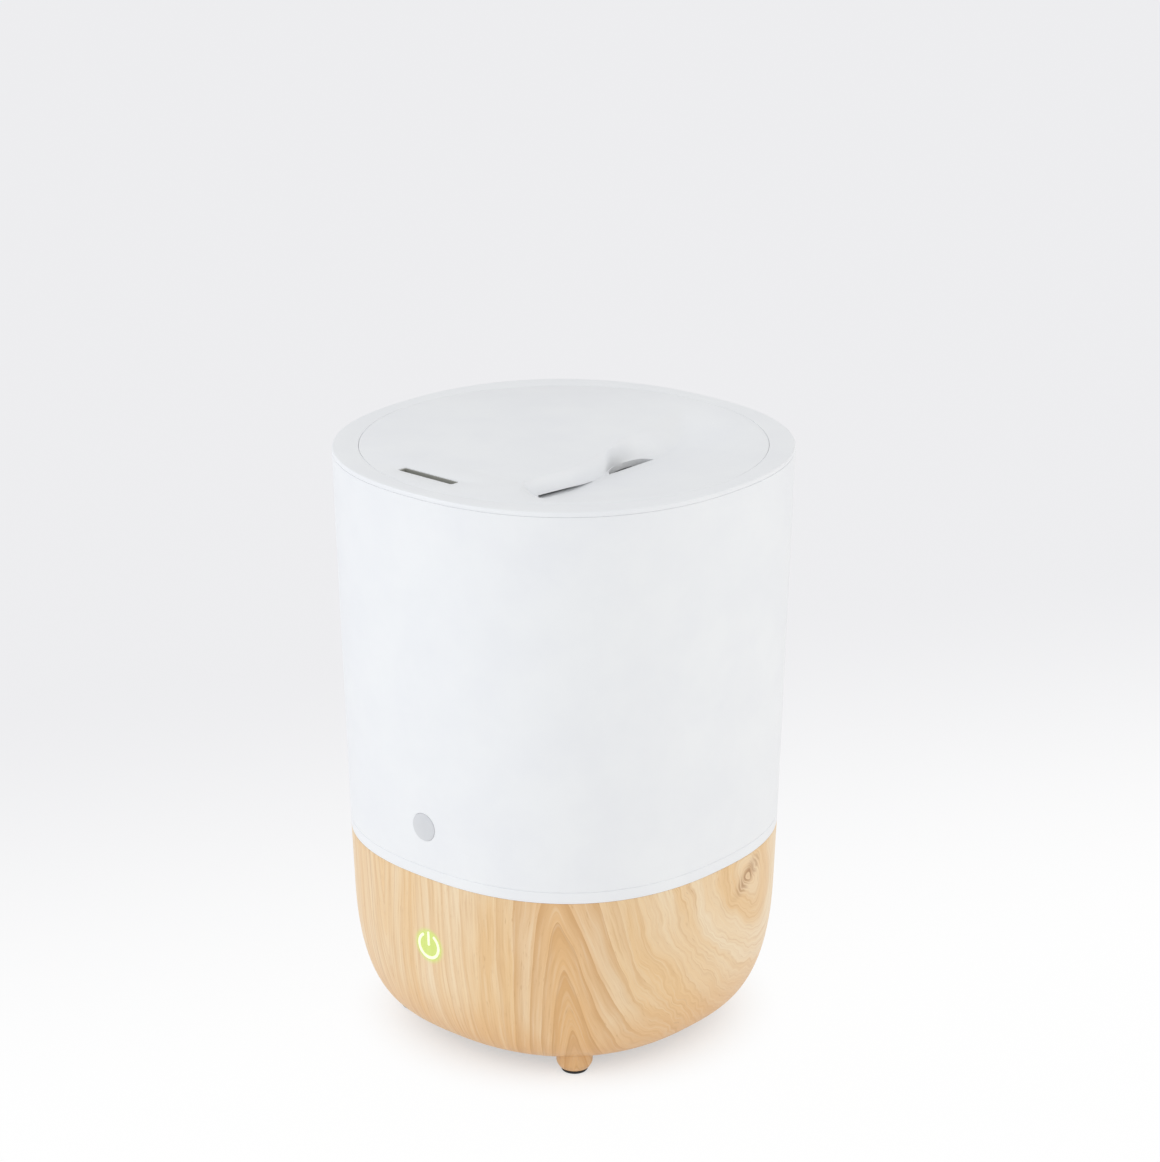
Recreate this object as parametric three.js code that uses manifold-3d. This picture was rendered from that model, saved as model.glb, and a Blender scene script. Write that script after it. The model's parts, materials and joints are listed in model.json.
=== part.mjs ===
// A table-top ultrasonic cool mist humidifier: millimetres, +Z up, front face towards -Y,
// origin on the floor under the middle of the body.
import * as THREE from "three";
import { mergeVertices } from "three/addons/utils/BufferGeometryUtils.js";
import Module from "manifold-3d";

const wasm = await Module();
wasm.setup();

// ---- Driving dimensions -------------------------------------------------------------------

const GAP = 0.3; // between pieces that touch or fit
const THROUGH = 1; // how far a cutter runs past the face that it cuts
const LAP = 1; // how far joined solids run into each other
const BLIND_END = 1; // material left beyond a blind hole

// Body outline: a rounded square that tapers down to the waist and ends in a bowl.
const HEIGHT = 263;
const TOP_HALF_WIDTH = 95;
const TOP_EDGE_DROP = 3.8; // of the level where the body stops widening, below the top
const WAIST_HEIGHT = 89.8;
const WAIST_HALF_WIDTH = 88.9;
const TOP_SQUARENESS = 2.255; // superellipse exponents, 2 is a circle
const WAIST_SQUARENESS = 2.388;
const BASE_TAPER = 0.036; // half width that the base loses for each millimetre down
const OUTLINE_POINTS = 40;

const BOWL_BOTTOM = 8.1;
const BOWL_CURVE_IN = 21.9;
const BOWL_CURVE_UP = 54.6;
const BOWL_CURVE_POWER = 2.35;
const BOWL_STEPS = 5;
const BOWL_WALL = 2.6;

const FOOT_OFFSET = 47.6; // of each foot's axis along X and Y
const FOOT_TOP_RADIUS = 7.9;
const FOOT_END_RADIUS = 6.3;
const FOOT_CHAMFER = 2.5;
const FOOT_ROOT = 2.6; // how far a foot stands up through the bowl's floor
const PAD_RADIUS = 5.8;
const PAD_HEIGHT = 1.4;

const HATCH_RADIUS = 51; // service opening underneath
const PLATE_LIP = 6.5;
const PLATE_THICKNESS = 1.9;
const PLATE_SCREW_INSET = 3.4; // of the screws' circle outside the hatch
const PLATE_BOSS_RADIUS = 3.2;
const PLATE_BOSS_HEIGHT = 3;
const PLATE_RING_WALL = 1.6;
const PLATE_RING_HEIGHT = 2.4;
const GRILLE_RADIUS = 19;
const GRILLE_SLOT = 3;
const GRILLE_RIB = 2.4;
const GRILLE_SLOTS = 7;

const DECK_RING = 4.7; // height of the white ring that shows under the tank
const DECK_RIM_WIDTH = 5;
const DECK_PLATE = 2.5;
const DECK_SKIRT = 6;
const DECK_SKIRT_WALL = 1.8;
const BASIN_INSET = 16.9; // from the body's side at the waist
const BASIN_HALF_WIDTH = WAIST_HALF_WIDTH - BASIN_INSET;
const BASIN_DEPTH = 20;
const BASIN_WALL = 2.3;
const COLUMN_RADIUS = 4.2;

const TANK_WALL = 2.4;
const TANK_LEDGE = 2.2;
const TANK_LEDGE_HEIGHT = 1.9;
const TANK_FLOOR = 2.5;
const TANK_SKIRT_CLEARANCE = 2;
const TANK_SKIRT_DEPTH = 7;
const TANK_SKIRT_WALL = 1.8;

const COLLAR_RIM = 1.8; // thickness of the rim that caps the tank wall
const COLLAR_EDGE_DROP = 0.8; // the rim's eased outer edge
const COLLAR_EDGE_IN = 0.5;
const COLLAR_WALL = 2.2;
const COLLAR_DEPTH = 10;
const COLLAR_LEDGE = 4.2;
const COLLAR_LEDGE_THICKNESS = 2;
const COLLAR_SPIGOT = { wall: 1.6, depth: 5 };
const COLLAR_FACE = 7.25; // narrowest width of the collar's face round the lid
const LID_SEGMENTS = 48;
const LID_GAP = 0.35;
const LID_RADIUS = TOP_HALF_WIDTH - COLLAR_FACE - LID_GAP;
const LID_THICKNESS = 2.6;
const LID_SKIRT_WALL = 2.2;

// The pour hollow in plan, in rows from front to back: a ramp falls from the rim to the valley,
// and beyond it a wall climbs from its foot to its crest. In front the wall is a standing lip
// with a rolled top, and behind it leans back into a rounded scoop.
const HOLLOW_DEPTH = 8.8;
const HOLLOW_RIM_INSET = 2.9; // from the lid's edge
const HOLLOW_RIM_RADIUS = LID_RADIUS - HOLLOW_RIM_INSET;
const HOLLOW_RIM_START = THREE.MathUtils.degToRad(-72);
const HOLLOW_RIM_END = THREE.MathUtils.degToRad(86);
const HOLLOW_FRONT_FALL = 0.09; // shares of the rows where the floor goes down and comes up
const HOLLOW_BACK_RISE = 0.36;
const LIP_END = 0.49; // share of the rows where the lip gives way to the scoop
const LIP_BLEND = 0.05;
const LIP_ROLL = 3.2; // of the lip's rounded top behind its crest
const RAMP_POWER = 1.25;
const HOLLOW_PLAN_RADIUS = 84.5; // rim radius for which the points below are drawn
const VALLEY = [
  [26.7, -56],
  [27.5, -44.5],
  [29.5, -29],
  [28.6, -15.5],
  [26.6, -3],
  [27.5, 9.5],
  [27.2, 24.5],
  [22.9, 38.2],
  [17.7, 51.2],
  [11.8, 65.2],
  [4.8, 80.2],
];
const FOOT = [
  [26.4, -56],
  [27.2, -44.5],
  [29.2, -29],
  [28.3, -15.5],
  [25.6, -3],
  [21.1, 8],
  [21.3, 24],
  [22, 38],
  [17.4, 51],
  [11.5, 65],
  [4.5, 80],
];
const CREST = [
  [26, -56],
  [26.8, -44.5],
  [28.7, -29],
  [27.8, -15.5],
  [25, -3.3],
  [20.4, 7.8],
  [7.8, 25],
  [4.4, 39.6],
  [0, 50.7],
  [-6.5, 67],
  [-12, 81],
];
const HOLLOW_ROWS = [
  0, 0.03, 0.06, 0.09, 0.16, 0.24, 0.32, 0.4, 0.45, 0.49, 0.515, 0.54, 0.6, 0.7, 0.8, 0.88, 0.94, 1,
];
const WALL_COLUMNS = 5;
const RAMP_COLUMNS = 5;
const FILL_SLOT_EDGE = [
  [26.9, -1.5],
  [23.4, 2.2],
  [21.1, 8.4],
  [20.7, 16.4],
  [22.2, 24],
  [27.2, 27.5],
];

const SLOT_TO_LID_EDGE = 14; // from the slot's middle line
const SLOT_TO_TANK_SIDE = 15.5;
const SLOT_REACH = Math.min(LID_RADIUS - SLOT_TO_LID_EDGE, WAIST_HALF_WIDTH - SLOT_TO_TANK_SIDE);
const MIST_SLOT = { x: -9.9, y: -SLOT_REACH, length: 30.8, width: 5, corner: 1.2 };
const NOZZLE_WALL = 1.5;
const LINER_GAP = 0.05; // between the nozzle's thin upper end and the lid's slot
const LINER_WALL = 0.4;
const LINER_DEPTH = 5.3; // of that end's foot below the lid's top
const LINER_DROP = 0.4; // and of its rim
const NOZZLE_DEPTH = 16.5; // of its lower end below the lid's top
const NOZZLE_FLANGE = 2;
const NOZZLE_FLANGE_THICKNESS = 1.2;
const TUBE_CLEARANCE = 0.6;
const TUBE_WALL = 1.6;
const TUBE_TOP_DROP = 12.4; // of the mist tube's top below the lid's top
const TUBE_FUNNEL = { back: 1, radiusX: 22, radiusY: 14, height: 38 }; // back: past the disc
const TUBE_SOCKET = { wall: 1.4, height: 4 };
const TUBE_POINTS = 20;
const TUBE_FUNNEL_STEPS = 4;

const TRANSDUCER_INSET = 18; // of its axis from the basin's front wall
const TRANSDUCER = { x: -10, y: TRANSDUCER_INSET - BASIN_HALF_WIDTH };
const PIEZO_RADIUS = 12.5;
const PIEZO_THICKNESS = 1.2;
const SEAL_THICKNESS = 1.4;
const SEAL_BAND = 3;
const WELL_LEDGE = 2.5; // of the basin's floor over the disc's edge
const WELL_RADIUS = PIEZO_RADIUS - WELL_LEDGE;
const HOLDER_BASE = 4;
const HOLDER_SCREW_OUT = 2.9; // of the screws' circle outside the disc
const HOLDER_SCREW_INSET = 2.6; // of that circle inside the holder's edge
const HOLDER_SCREW_CIRCLE = PIEZO_RADIUS + HOLDER_SCREW_OUT;
const HOLDER_RADIUS = HOLDER_SCREW_CIRCLE + HOLDER_SCREW_INSET;
const HOLDER_SCREWS = 3;
const SCREW_BOSS_RADIUS = 3.2;
const SCREW_BOSS_HEIGHT = 3.6;

const VALVE = { x: -20, y: 34 };
const VALVE_HOLE_RADIUS = 7;
const VALVE_NECK_WALL = 2;
const VALVE_NECK_DEPTH = 5;
const VALVE_SEAL_LAP = 2; // of the seal over the hole's edge
const VALVE_SEAL_RADIUS = VALVE_HOLE_RADIUS + VALVE_SEAL_LAP;
const VALVE_SEAL_THICKNESS = 2.2;
const VALVE_FLANGE_INSET = 1.5;
const VALVE_FLANGE_RADIUS = VALVE_SEAL_RADIUS - VALVE_FLANGE_INSET;
const VALVE_FLANGE_THICKNESS = 1.4;
const VALVE_LIFT = 3.2;
const STEM_RADIUS = 2;
const STEM_CLEARANCE = 0.3;
const STEM_REACH = 4; // of the stem above its guide
const SPRING_WIRE = 0.6;
const SPRING_ROOM = 2.4; // from the stem to the middle of the spring's wire
const SPRING_RADIUS = STEM_RADIUS + SPRING_ROOM;
const SPRING_LENGTH = 12;
const SPRING_TURNS = 5;
const CAGE_LEG = 3;
const CAGE_ROOM = 1.5; // from the seal to the cage's legs
const CAGE_RADIUS = VALVE_SEAL_RADIUS + CAGE_ROOM + CAGE_LEG;
const CAGE_LEGS = 3;
const CAGE_TOP = 2;

const PIVOT_ARM = 18; // from the valve's axis to the lever's pivot, along X
const FLOAT_ARM = 32; // from the pivot to the lever float's axis
const LEVER_HEIGHT = 13.5; // of the pivot above the basin floor
const LEVER_WIDTH = 6;
const LEVER_THICKNESS = 3;
const LEVER_HUB_RADIUS = 3.4;
const PIVOT_RADIUS = 1.5;
const PIVOT_CLEARANCE = 0.25;
const PUSHER_RADIUS = 1.7;
const PUSHER_HEIGHT = 3.4;
const LEVER_FLOAT_RADIUS = 13;
const LEVER_FLOAT_HEIGHT = 9;
const CHEEK = { thickness: 2, length: 9, gap: 0.5, above: 3.5 };

const LEVEL_FLOAT_INSET = 26; // of its post from the basin's wall
const LEVEL_FLOAT = {
  x: BASIN_HALF_WIDTH - LEVEL_FLOAT_INSET, y: -10, radius: 10.5, height: 10, travel: 7,
};
const FLOAT_POST_RADIUS = 3;
const FLOAT_BORE_CLEARANCE = 0.5;
const FLOAT_REST = 0.5; // of the level float above the basin floor
const CLIP_WIDTH = 2.5;
const CLIP_RADIUS = FLOAT_POST_RADIUS + CLIP_WIDTH;
const CLIP_THICKNESS = 1.6;

const CHIMNEY_INSET = 26; // of its middle from the basin's wall
const CHIMNEY = { x: CHIMNEY_INSET - BASIN_HALF_WIDTH, y: 12, wide: 15, deep: 14 };
const CHIMNEY_WALL = 1.8;
const CHIMNEY_GAP = 3; // between the chimney's mouth and the tank's floor
const DUCT_WALL = 1.4;
const DUCT_BEND = 15;

const ROTOR_RADIUS = 20;
const ROTOR_TIP_ROOM = 3.4; // from the rotor to the housing's wall
const BLOWER_WALL = 1.6;
const BLOWER_RADIUS = ROTOR_RADIUS + ROTOR_TIP_ROOM + BLOWER_WALL;
const BLOWER = { x: 21, y: -6, radius: BLOWER_RADIUS, height: 19, lift: 8 };
const BLOWER_INLET_RADIUS = 14;
const BLOWER_POSTS = 3;
const BLOWER_POST_RADIUS = 2.6;
const ROTOR_HUB_RADIUS = 9.5;
const ROTOR_BLADES = 10;
const ROTOR_RUNNING_GAP = 1.2;
const ROTOR_PLATE = 1.4;
const BLADE_THICKNESS = 1.1;
const MOTOR_GAP = 0.7;
const ROTOR_HUB_WALL = 1.3;
const MOTOR_RADIUS = ROTOR_HUB_RADIUS - ROTOR_HUB_WALL - MOTOR_GAP;
const MOTOR_HEIGHT = 10;
const BLADE_ROOT_RADIUS = 12.5;
const BLADE_SWEEP = 30; // degrees that each blade leans back from the radius
const SHAFT_RADIUS = 1.2;

const DRIVER_BOARD = { x: -25, y: -16, wide: 26, deep: 32, lift: 12 };
const BOARD_THICKNESS = 1.6;
const POST_RADIUS = 2.2;
const BOARD_POST_INSET = 3; // of the posts from a board's edges
const HEAT_SINK = { x: -1, y: 9, wide: 20, deep: 9, height: 15, fins: 5, fin: 1.2, web: 2 };
const CAPACITOR = { x: -7, y: -8, radius: 4, height: 11 };
const INDUCTOR = { x: 5, y: -6, radius: 6, bore: 2.6, height: 6 };

const SYMBOL_DROP = 31.9; // of the touch symbol's centre below the waist
const SYMBOL_HEIGHT = WAIST_HEIGHT - SYMBOL_DROP;
const SYMBOL_RADIUS = 6.2;
const SYMBOL_STROKE = 1.3;
const SYMBOL_GAP_ANGLE = THREE.MathUtils.degToRad(35);
const SYMBOL_BAR_TOP = 6.7;
const SYMBOL_THICKNESS = 1;
const SYMBOL_PROUD = 0.15;
const GUIDE_MARGIN = 2.2; // of the light guide round the symbol
const GUIDE_RADIUS = SYMBOL_RADIUS + GUIDE_MARGIN;
const LIGHT_GUIDE = { radius: GUIDE_RADIUS, length: 4.6, seat: 1 }; // seat: gap to the wall
const CONTROL_BOARD = { wide: 26, high: 20 };
const LED = { wide: 3.2, height: 1.4 };

const BADGE_RISE = 23.7; // of the badge's centre above the waist
const BADGE_HEIGHT = WAIST_HEIGHT + BADGE_RISE;
const BADGE_RADIUS = 6.2;
const BADGE_THICKNESS = 0.8;
const BADGE_PROUD = 0.3;

const JACK_DROP = 37.8; // of the jack's axis below the waist
const JACK_HEIGHT = WAIST_HEIGHT - JACK_DROP;
const JACK = { barrel: 4, wall: 1.1, pin: 0.9, pinInset: 1, depth: 9, recess: 0.5 };
const JACK_FLANGE = { width: 2.4, thickness: 1.4, behind: 4.4 };
const JACK_BODY = { wide: 9, high: 11, length: 12 };
const REED = { radius: 1.5, length: 14 };

const SCREW = { shank: 1.5, head: 2.9, headHeight: 1.8 };
const SCREW_CLEARANCE = 0.3;
const DECK_SCREW_LENGTH = 16;
const PLATE_SCREW_LENGTH = 6.5;
const HOLDER_SCREW_LENGTH = 11;
const LEAD_RADIUS = 1.1;

// ---- Levels that follow from the driving dimensions -----------------------------------------

const WIDEST_LEVEL = HEIGHT - TOP_EDGE_DROP;
const FOOT_END = PAD_HEIGHT + GAP;
const BOWL_FLOOR = BOWL_BOTTOM + BOWL_WALL;
const RING_BOTTOM = WAIST_HEIGHT + GAP;
const RING_TOP = RING_BOTTOM + DECK_RING;
const BASIN_FLOOR = RING_BOTTOM + DECK_PLATE - BASIN_DEPTH;
const BASIN_UNDERSIDE = BASIN_FLOOR - BASIN_WALL;
const TANK_BOTTOM = RING_TOP + GAP;
const TANK_FLOOR_BOTTOM = TANK_BOTTOM + TANK_LEDGE_HEIGHT + GAP;
const TANK_FLOOR_TOP = TANK_FLOOR_BOTTOM + TANK_FLOOR;
const RIM_BOTTOM = HEIGHT - COLLAR_RIM;
const TANK_TOP = RIM_BOTTOM - GAP;
const COLLAR_BORE = LID_RADIUS + LID_GAP;
const COLLAR_BOTTOM = HEIGHT - COLLAR_DEPTH;
const PLATE_TOP = BOWL_BOTTOM - GAP;
const PLATE_BOTTOM = PLATE_TOP - PLATE_THICKNESS;

// ---- Solids ------------------------------------------------------------------------------

// A closed three.js geometry as a manifold-3d solid.
function solid(geometry) {
  const bare = geometry.clone();
  bare.deleteAttribute("normal");
  bare.deleteAttribute("uv");
  const merged = mergeVertices(bare, 1e-4);
  const vertProperties = new Float32Array(merged.attributes.position.array);
  const triVerts = new Uint32Array(merged.index.array);
  return new wasm.Manifold(new wasm.Mesh({ numProp: 3, vertProperties, triVerts }));
}

function geometryOf(manifold) {
  const { vertProperties, triVerts } = manifold.getMesh();
  const geometry = new THREE.BufferGeometry();
  geometry.setAttribute("position", new THREE.BufferAttribute(vertProperties, 3));
  geometry.setIndex(new THREE.BufferAttribute(triVerts, 1));
  return geometry;
}

const joined = (...solids) => solids.reduce((whole, next) => whole.add(next));

const cut = (body, ...tools) => tools.reduce((left, tool) => left.subtract(tool), body);

function cylinder(radius, bottom, top, x = 0, y = 0, segments = 20) {
  const geometry = new THREE.CylinderGeometry(radius, radius, top - bottom, segments);
  geometry.rotateX(Math.PI / 2).translate(x, y, (bottom + top) / 2);
  return solid(geometry);
}

function cone(bottomRadius, topRadius, bottom, top, x, y, segments = 16) {
  const geometry = new THREE.CylinderGeometry(topRadius, bottomRadius, top - bottom, segments);
  geometry.rotateX(Math.PI / 2).translate(x, y, (bottom + top) / 2);
  return solid(geometry);
}

function pipe(outer, inner, bottom, top, x = 0, y = 0, segments = 24) {
  const bore = cylinder(inner, bottom - THROUGH, top + THROUGH, x, y, segments);
  return cylinder(outer, bottom, top, x, y, segments).subtract(bore);
}

function block(left, right, front, back, bottom, top) {
  const geometry = new THREE.BoxGeometry(right - left, back - front, top - bottom);
  geometry.translate((left + right) / 2, (front + back) / 2, (bottom + top) / 2);
  return solid(geometry);
}

// A block centred on a point of the plan.
function post(x, y, wide, deep, bottom, top) {
  return block(x - wide / 2, x + wide / 2, y - deep / 2, y + deep / 2, bottom, top);
}

function extruded(points, bottom, top) {
  const shape = new THREE.Shape(points);
  const geometry = new THREE.ExtrudeGeometry(shape, { depth: top - bottom, bevelEnabled: false });
  return solid(geometry.translate(0, 0, bottom));
}

// A solid through outlines of equal point counts, listed from the bottom up as { z, points }.
function stacked(layers) {
  const count = layers[0].points.length;
  const positions = [];
  const index = [];
  for (const { z, points } of layers) {
    for (const point of points) positions.push(point.x, point.y, z);
  }
  for (let layer = 0; layer + 1 < layers.length; layer++) {
    for (let i = 0; i < count; i++) {
      const here = layer * count + i;
      const next = layer * count + ((i + 1) % count);
      index.push(here, next, next + count, here, next + count, here + count);
    }
  }
  const addCap = ({ z, points }, first, upward) => {
    const centre = positions.length / 3;
    const middle = points.reduce((sum, point) => sum.add(point), new THREE.Vector2());
    middle.divideScalar(count);
    positions.push(middle.x, middle.y, z);
    for (let i = 0; i < count; i++) {
      const here = first + i;
      const next = first + ((i + 1) % count);
      if (upward) index.push(centre, here, next);
      else index.push(centre, next, here);
    }
  };
  addCap(layers[0], 0, false);
  addCap(layers.at(-1), (layers.length - 1) * count, true);
  const geometry = new THREE.BufferGeometry();
  geometry.setAttribute("position", new THREE.Float32BufferAttribute(positions, 3));
  geometry.setIndex(index);
  return solid(geometry);
}

// ---- Outlines ------------------------------------------------------------------------------

function squircle(halfWidth, squareness) {
  const points = [];
  for (let i = 0; i < OUTLINE_POINTS; i++) {
    const angle = (i / OUTLINE_POINTS) * 2 * Math.PI;
    const across = Math.abs(Math.cos(angle)) ** squareness;
    const along = Math.abs(Math.sin(angle)) ** squareness;
    const reach = halfWidth * (across + along) ** (-1 / squareness);
    points.push(new THREE.Vector2(reach * Math.cos(angle), reach * Math.sin(angle)));
  }
  return points;
}

// A slot's outline with round corners, lying along X, from its front side counterclockwise.
function slotOutline(x, y, length, width, corner, points = TUBE_POINTS) {
  const outline = [];
  const quarter = points / 4;
  for (let i = 0; i < points; i++) {
    const side = Math.floor(i / quarter);
    const angle = ((side - 1 + (i % quarter) / (quarter - 1)) * Math.PI) / 2;
    const sideX = side < 2 ? 1 : -1;
    const sideY = side === 1 || side === 2 ? 1 : -1;
    const outX = sideX * (length / 2 - corner) + corner * Math.cos(angle);
    const outY = sideY * (width / 2 - corner) + corner * Math.sin(angle);
    outline.push(new THREE.Vector2(x + outX, y + outY));
  }
  return outline;
}

function ellipse(x, y, radiusX, radiusY, points = TUBE_POINTS) {
  const outline = [];
  const half = points / 2;
  for (let i = 0; i < points; i++) {
    const turn = i < half ? 0 : Math.PI;
    const angle = ((i % half) / (half - 1) - 0.5) * Math.PI * (1 - 1 / half) + turn;
    outline.push(new THREE.Vector2(x + radiusX * Math.cos(angle), y + radiusY * Math.sin(angle)));
  }
  return outline;
}

const smooth = (share) => THREE.MathUtils.smoothstep(share, 0, 1);

// Half the body's width at a height.
function taper(z) {
  if (z < WAIST_HEIGHT) return WAIST_HALF_WIDTH - BASE_TAPER * (WAIST_HEIGHT - z);
  const share = (z - WAIST_HEIGHT) / (WIDEST_LEVEL - WAIST_HEIGHT);
  return WAIST_HALF_WIDTH + (TOP_HALF_WIDTH - WAIST_HALF_WIDTH) * Math.min(share, 1);
}

function squarenessAt(z) {
  const share = THREE.MathUtils.clamp((z - WAIST_HEIGHT) / (HEIGHT - WAIST_HEIGHT), 0, 1);
  return WAIST_SQUARENESS + (TOP_SQUARENESS - WAIST_SQUARENESS) * share;
}

const layerAt = (z, inset = 0) => ({ z, points: squircle(taper(z) - inset, squarenessAt(z)) });

// The tapered body between two heights, drawn in by an inset.
function bodySlice(bottom, top, inset) {
  const turns = [WAIST_HEIGHT, WIDEST_LEVEL].filter((z) => bottom < z && z < top);
  return stacked([bottom, ...turns, top].map((z) => layerAt(z, inset)));
}

// Half the bowl's width at a height, for its outside or for the surface a wall's depth in.
function bowlHalfWidth(z, inset) {
  const depth = (BOWL_BOTTOM + BOWL_CURVE_UP - z) / (BOWL_CURVE_UP - inset);
  const share = THREE.MathUtils.clamp(depth, 0, 1);
  const drawIn = 1 - (1 - share ** BOWL_CURVE_POWER) ** (1 / BOWL_CURVE_POWER);
  return taper(z) - inset - BOWL_CURVE_IN * drawIn;
}

// The bowl as a solid, from its floor to a given height.
function bowl(inset, top) {
  const layers = [];
  for (let step = 0; step <= BOWL_STEPS; step++) {
    const share = Math.cos(((step / BOWL_STEPS) * Math.PI) / 2);
    const z = BOWL_BOTTOM + BOWL_CURVE_UP - share * (BOWL_CURVE_UP - inset);
    layers.push({ z, points: squircle(bowlHalfWidth(z, inset), WAIST_SQUARENESS) });
  }
  layers.push({ z: top, points: squircle(taper(top) - inset, WAIST_SQUARENESS) });
  return stacked(layers);
}

// ---- Scene helpers -------------------------------------------------------------------------

const MATERIALS = {
  whitePlastic: { color: 0xf2f4f6, roughness: 0.35, metalness: 0 },
  wood: { color: 0xe6c79c, roughness: 0.5, metalness: 0 },
  greyPlastic: { color: 0xd8dadd, roughness: 0.4, metalness: 0 },
  smokePlastic: { color: 0x7b7b76, roughness: 0.5, metalness: 0 },
  darkPlastic: { color: 0x2c2e31, roughness: 0.5, metalness: 0 },
  clearPlastic: { color: 0xe9ecef, roughness: 0.2, metalness: 0 },
  rubber: { color: 0x1c1c1e, roughness: 0.9, metalness: 0 },
  silicone: { color: 0xc9ced3, roughness: 0.7, metalness: 0 },
  steel: { color: 0xb9bcc0, roughness: 0.3, metalness: 1 },
  aluminium: { color: 0xc4c7cb, roughness: 0.4, metalness: 1 },
  ceramic: { color: 0xe8e2d2, roughness: 0.4, metalness: 0 },
  board: { color: 0x2d6b45, roughness: 0.6, metalness: 0 },
  copper: { color: 0xb8703c, roughness: 0.4, metalness: 1 },
  glow: { color: 0xe8f2a8, roughness: 0.4, metalness: 0 },
  foam: { color: 0xe3e6ea, roughness: 0.9, metalness: 0 },
};

function addPiece(group, name, body, material) {
  const geometry = body instanceof THREE.BufferGeometry ? body : geometryOf(body);
  const mesh = new THREE.Mesh(geometry, new THREE.MeshStandardMaterial(MATERIALS[material]));
  mesh.name = name;
  group.add(mesh);
  return mesh;
}

function subgroup(parent, x, y, z) {
  const group = new THREE.Group();
  group.position.set(x, y, z);
  parent.add(group);
  return group;
}

// Pan-head screw pointing up, with the underside of its head at the origin.
function screwSolid(length) {
  const head = cylinder(SCREW.head, -SCREW.headHeight, 0, 0, 0, 12);
  return joined(head, cylinder(SCREW.shank, -LAP, length, 0, 0, 6));
}

const screwHole = (bottom, top, x, y) =>
  cylinder(SCREW.shank + SCREW_CLEARANCE, bottom, top, x, y, 6);

// Points of a regular ring of places round the origin.
function around(count, radius, firstDegrees) {
  const places = [];
  for (let i = 0; i < count; i++) {
    const angle = THREE.MathUtils.degToRad(firstDegrees) + (i / count) * 2 * Math.PI;
    places.push([radius * Math.cos(angle), radius * Math.sin(angle)]);
  }
  return places;
}

const FEET = [
  [FOOT_OFFSET, -FOOT_OFFSET],
  [FOOT_OFFSET, FOOT_OFFSET],
  [-FOOT_OFFSET, FOOT_OFFSET],
  [-FOOT_OFFSET, -FOOT_OFFSET],
];
const HEAD_POCKET = SCREW.headHeight + 2 * GAP; // of a foot's screw, above the foot's end
const PLATE_SCREWS = around(4, HATCH_RADIUS + PLATE_SCREW_INSET, 0);
const HOLDER_SCREW_PLACES = around(HOLDER_SCREWS, HOLDER_SCREW_CIRCLE, 90);

// A group whose +Z points out of the front wall at a height, with its origin on the surface.
function frontGroup(parent, height) {
  const slope = (taper(height + 1) - taper(height - 1)) / 2;
  const group = subgroup(parent, 0, -taper(height), height);
  group.rotation.x = Math.PI / 2 + Math.atan(slope);
  group.updateMatrix();
  return group;
}

// A solid built in a group's frame, moved to its parent's frame.
const inParent = (group, body) => solid(geometryOf(body).applyMatrix4(group.matrix));

// ---- Base: shell, feet and bottom plate ------------------------------------------------------

function symbolRing(grow, bottom, top) {
  const outer = SYMBOL_RADIUS + grow;
  const inner = SYMBOL_RADIUS - SYMBOL_STROKE - grow;
  const start = Math.PI / 2 + SYMBOL_GAP_ANGLE - grow / SYMBOL_RADIUS;
  const end = (5 * Math.PI) / 2 - SYMBOL_GAP_ANGLE + grow / SYMBOL_RADIUS;
  const shape = new THREE.Shape();
  shape.absarc(0, 0, outer, start, end, false);
  shape.absarc(0, 0, inner, end, start, true);
  const settings = { depth: top - bottom, bevelEnabled: false, curveSegments: 12 };
  return solid(new THREE.ExtrudeGeometry(shape, settings).translate(0, 0, bottom));
}

function symbolBar(grow, bottom, top) {
  const half = SYMBOL_STROKE / 2 + grow;
  return block(-half, half, -grow, SYMBOL_BAR_TOP + grow, bottom, top);
}

function makeBaseShell(front) {
  const shell = bowl(0, WAIST_HEIGHT).subtract(bowl(BOWL_WALL, WAIST_HEIGHT + THROUGH));
  const stubs = [];
  const holes = [cylinder(HATCH_RADIUS, 0, BOWL_FLOOR + THROUGH, 0, 0, 40)];
  const stubTop = BOWL_FLOOR + FOOT_ROOT;
  for (const [x, y] of FEET) {
    const chamferTop = FOOT_END + FOOT_CHAMFER;
    stubs.push(cylinder(FOOT_TOP_RADIUS, chamferTop, stubTop, x, y, 16));
    stubs.push(cone(FOOT_END_RADIUS, FOOT_TOP_RADIUS, FOOT_END, chamferTop, x, y));
    holes.push(cylinder(SCREW.head + GAP, 0, FOOT_END + HEAD_POCKET, x, y, 12));
    holes.push(screwHole(0, stubTop + THROUGH, x, y));
  }
  const bosses = [];
  for (const [x, y] of PLATE_SCREWS) {
    const top = BOWL_FLOOR + PLATE_BOSS_HEIGHT;
    bosses.push(cylinder(PLATE_BOSS_RADIUS, BOWL_BOTTOM, top, x, y, 12));
    holes.push(screwHole(0, top - BLIND_END, x, y));
  }
  const back = taper(JACK_HEIGHT);
  const jackHole = new THREE.CylinderGeometry(JACK.barrel + GAP, JACK.barrel + GAP, back, 24);
  holes.push(solid(jackHole.translate(0, back, JACK_HEIGHT)));

  const pocket = [-SYMBOL_THICKNESS - GAP, THROUGH];
  holes.push(inParent(front, symbolRing(GAP, ...pocket)));
  holes.push(inParent(front, symbolBar(GAP, ...pocket)));
  const reach = BOWL_WALL + LIGHT_GUIDE.seat + LIGHT_GUIDE.length + GAP + LED.height;
  for (const [x, y] of boardCorners(CONTROL_BOARD.wide, CONTROL_BOARD.high)) {
    bosses.push(inParent(front, cylinder(POST_RADIUS, -reach, -BOWL_WALL / 2, x, y, 8)));
  }
  return cut(joined(shell, ...stubs, ...bosses), ...holes);
}

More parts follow.
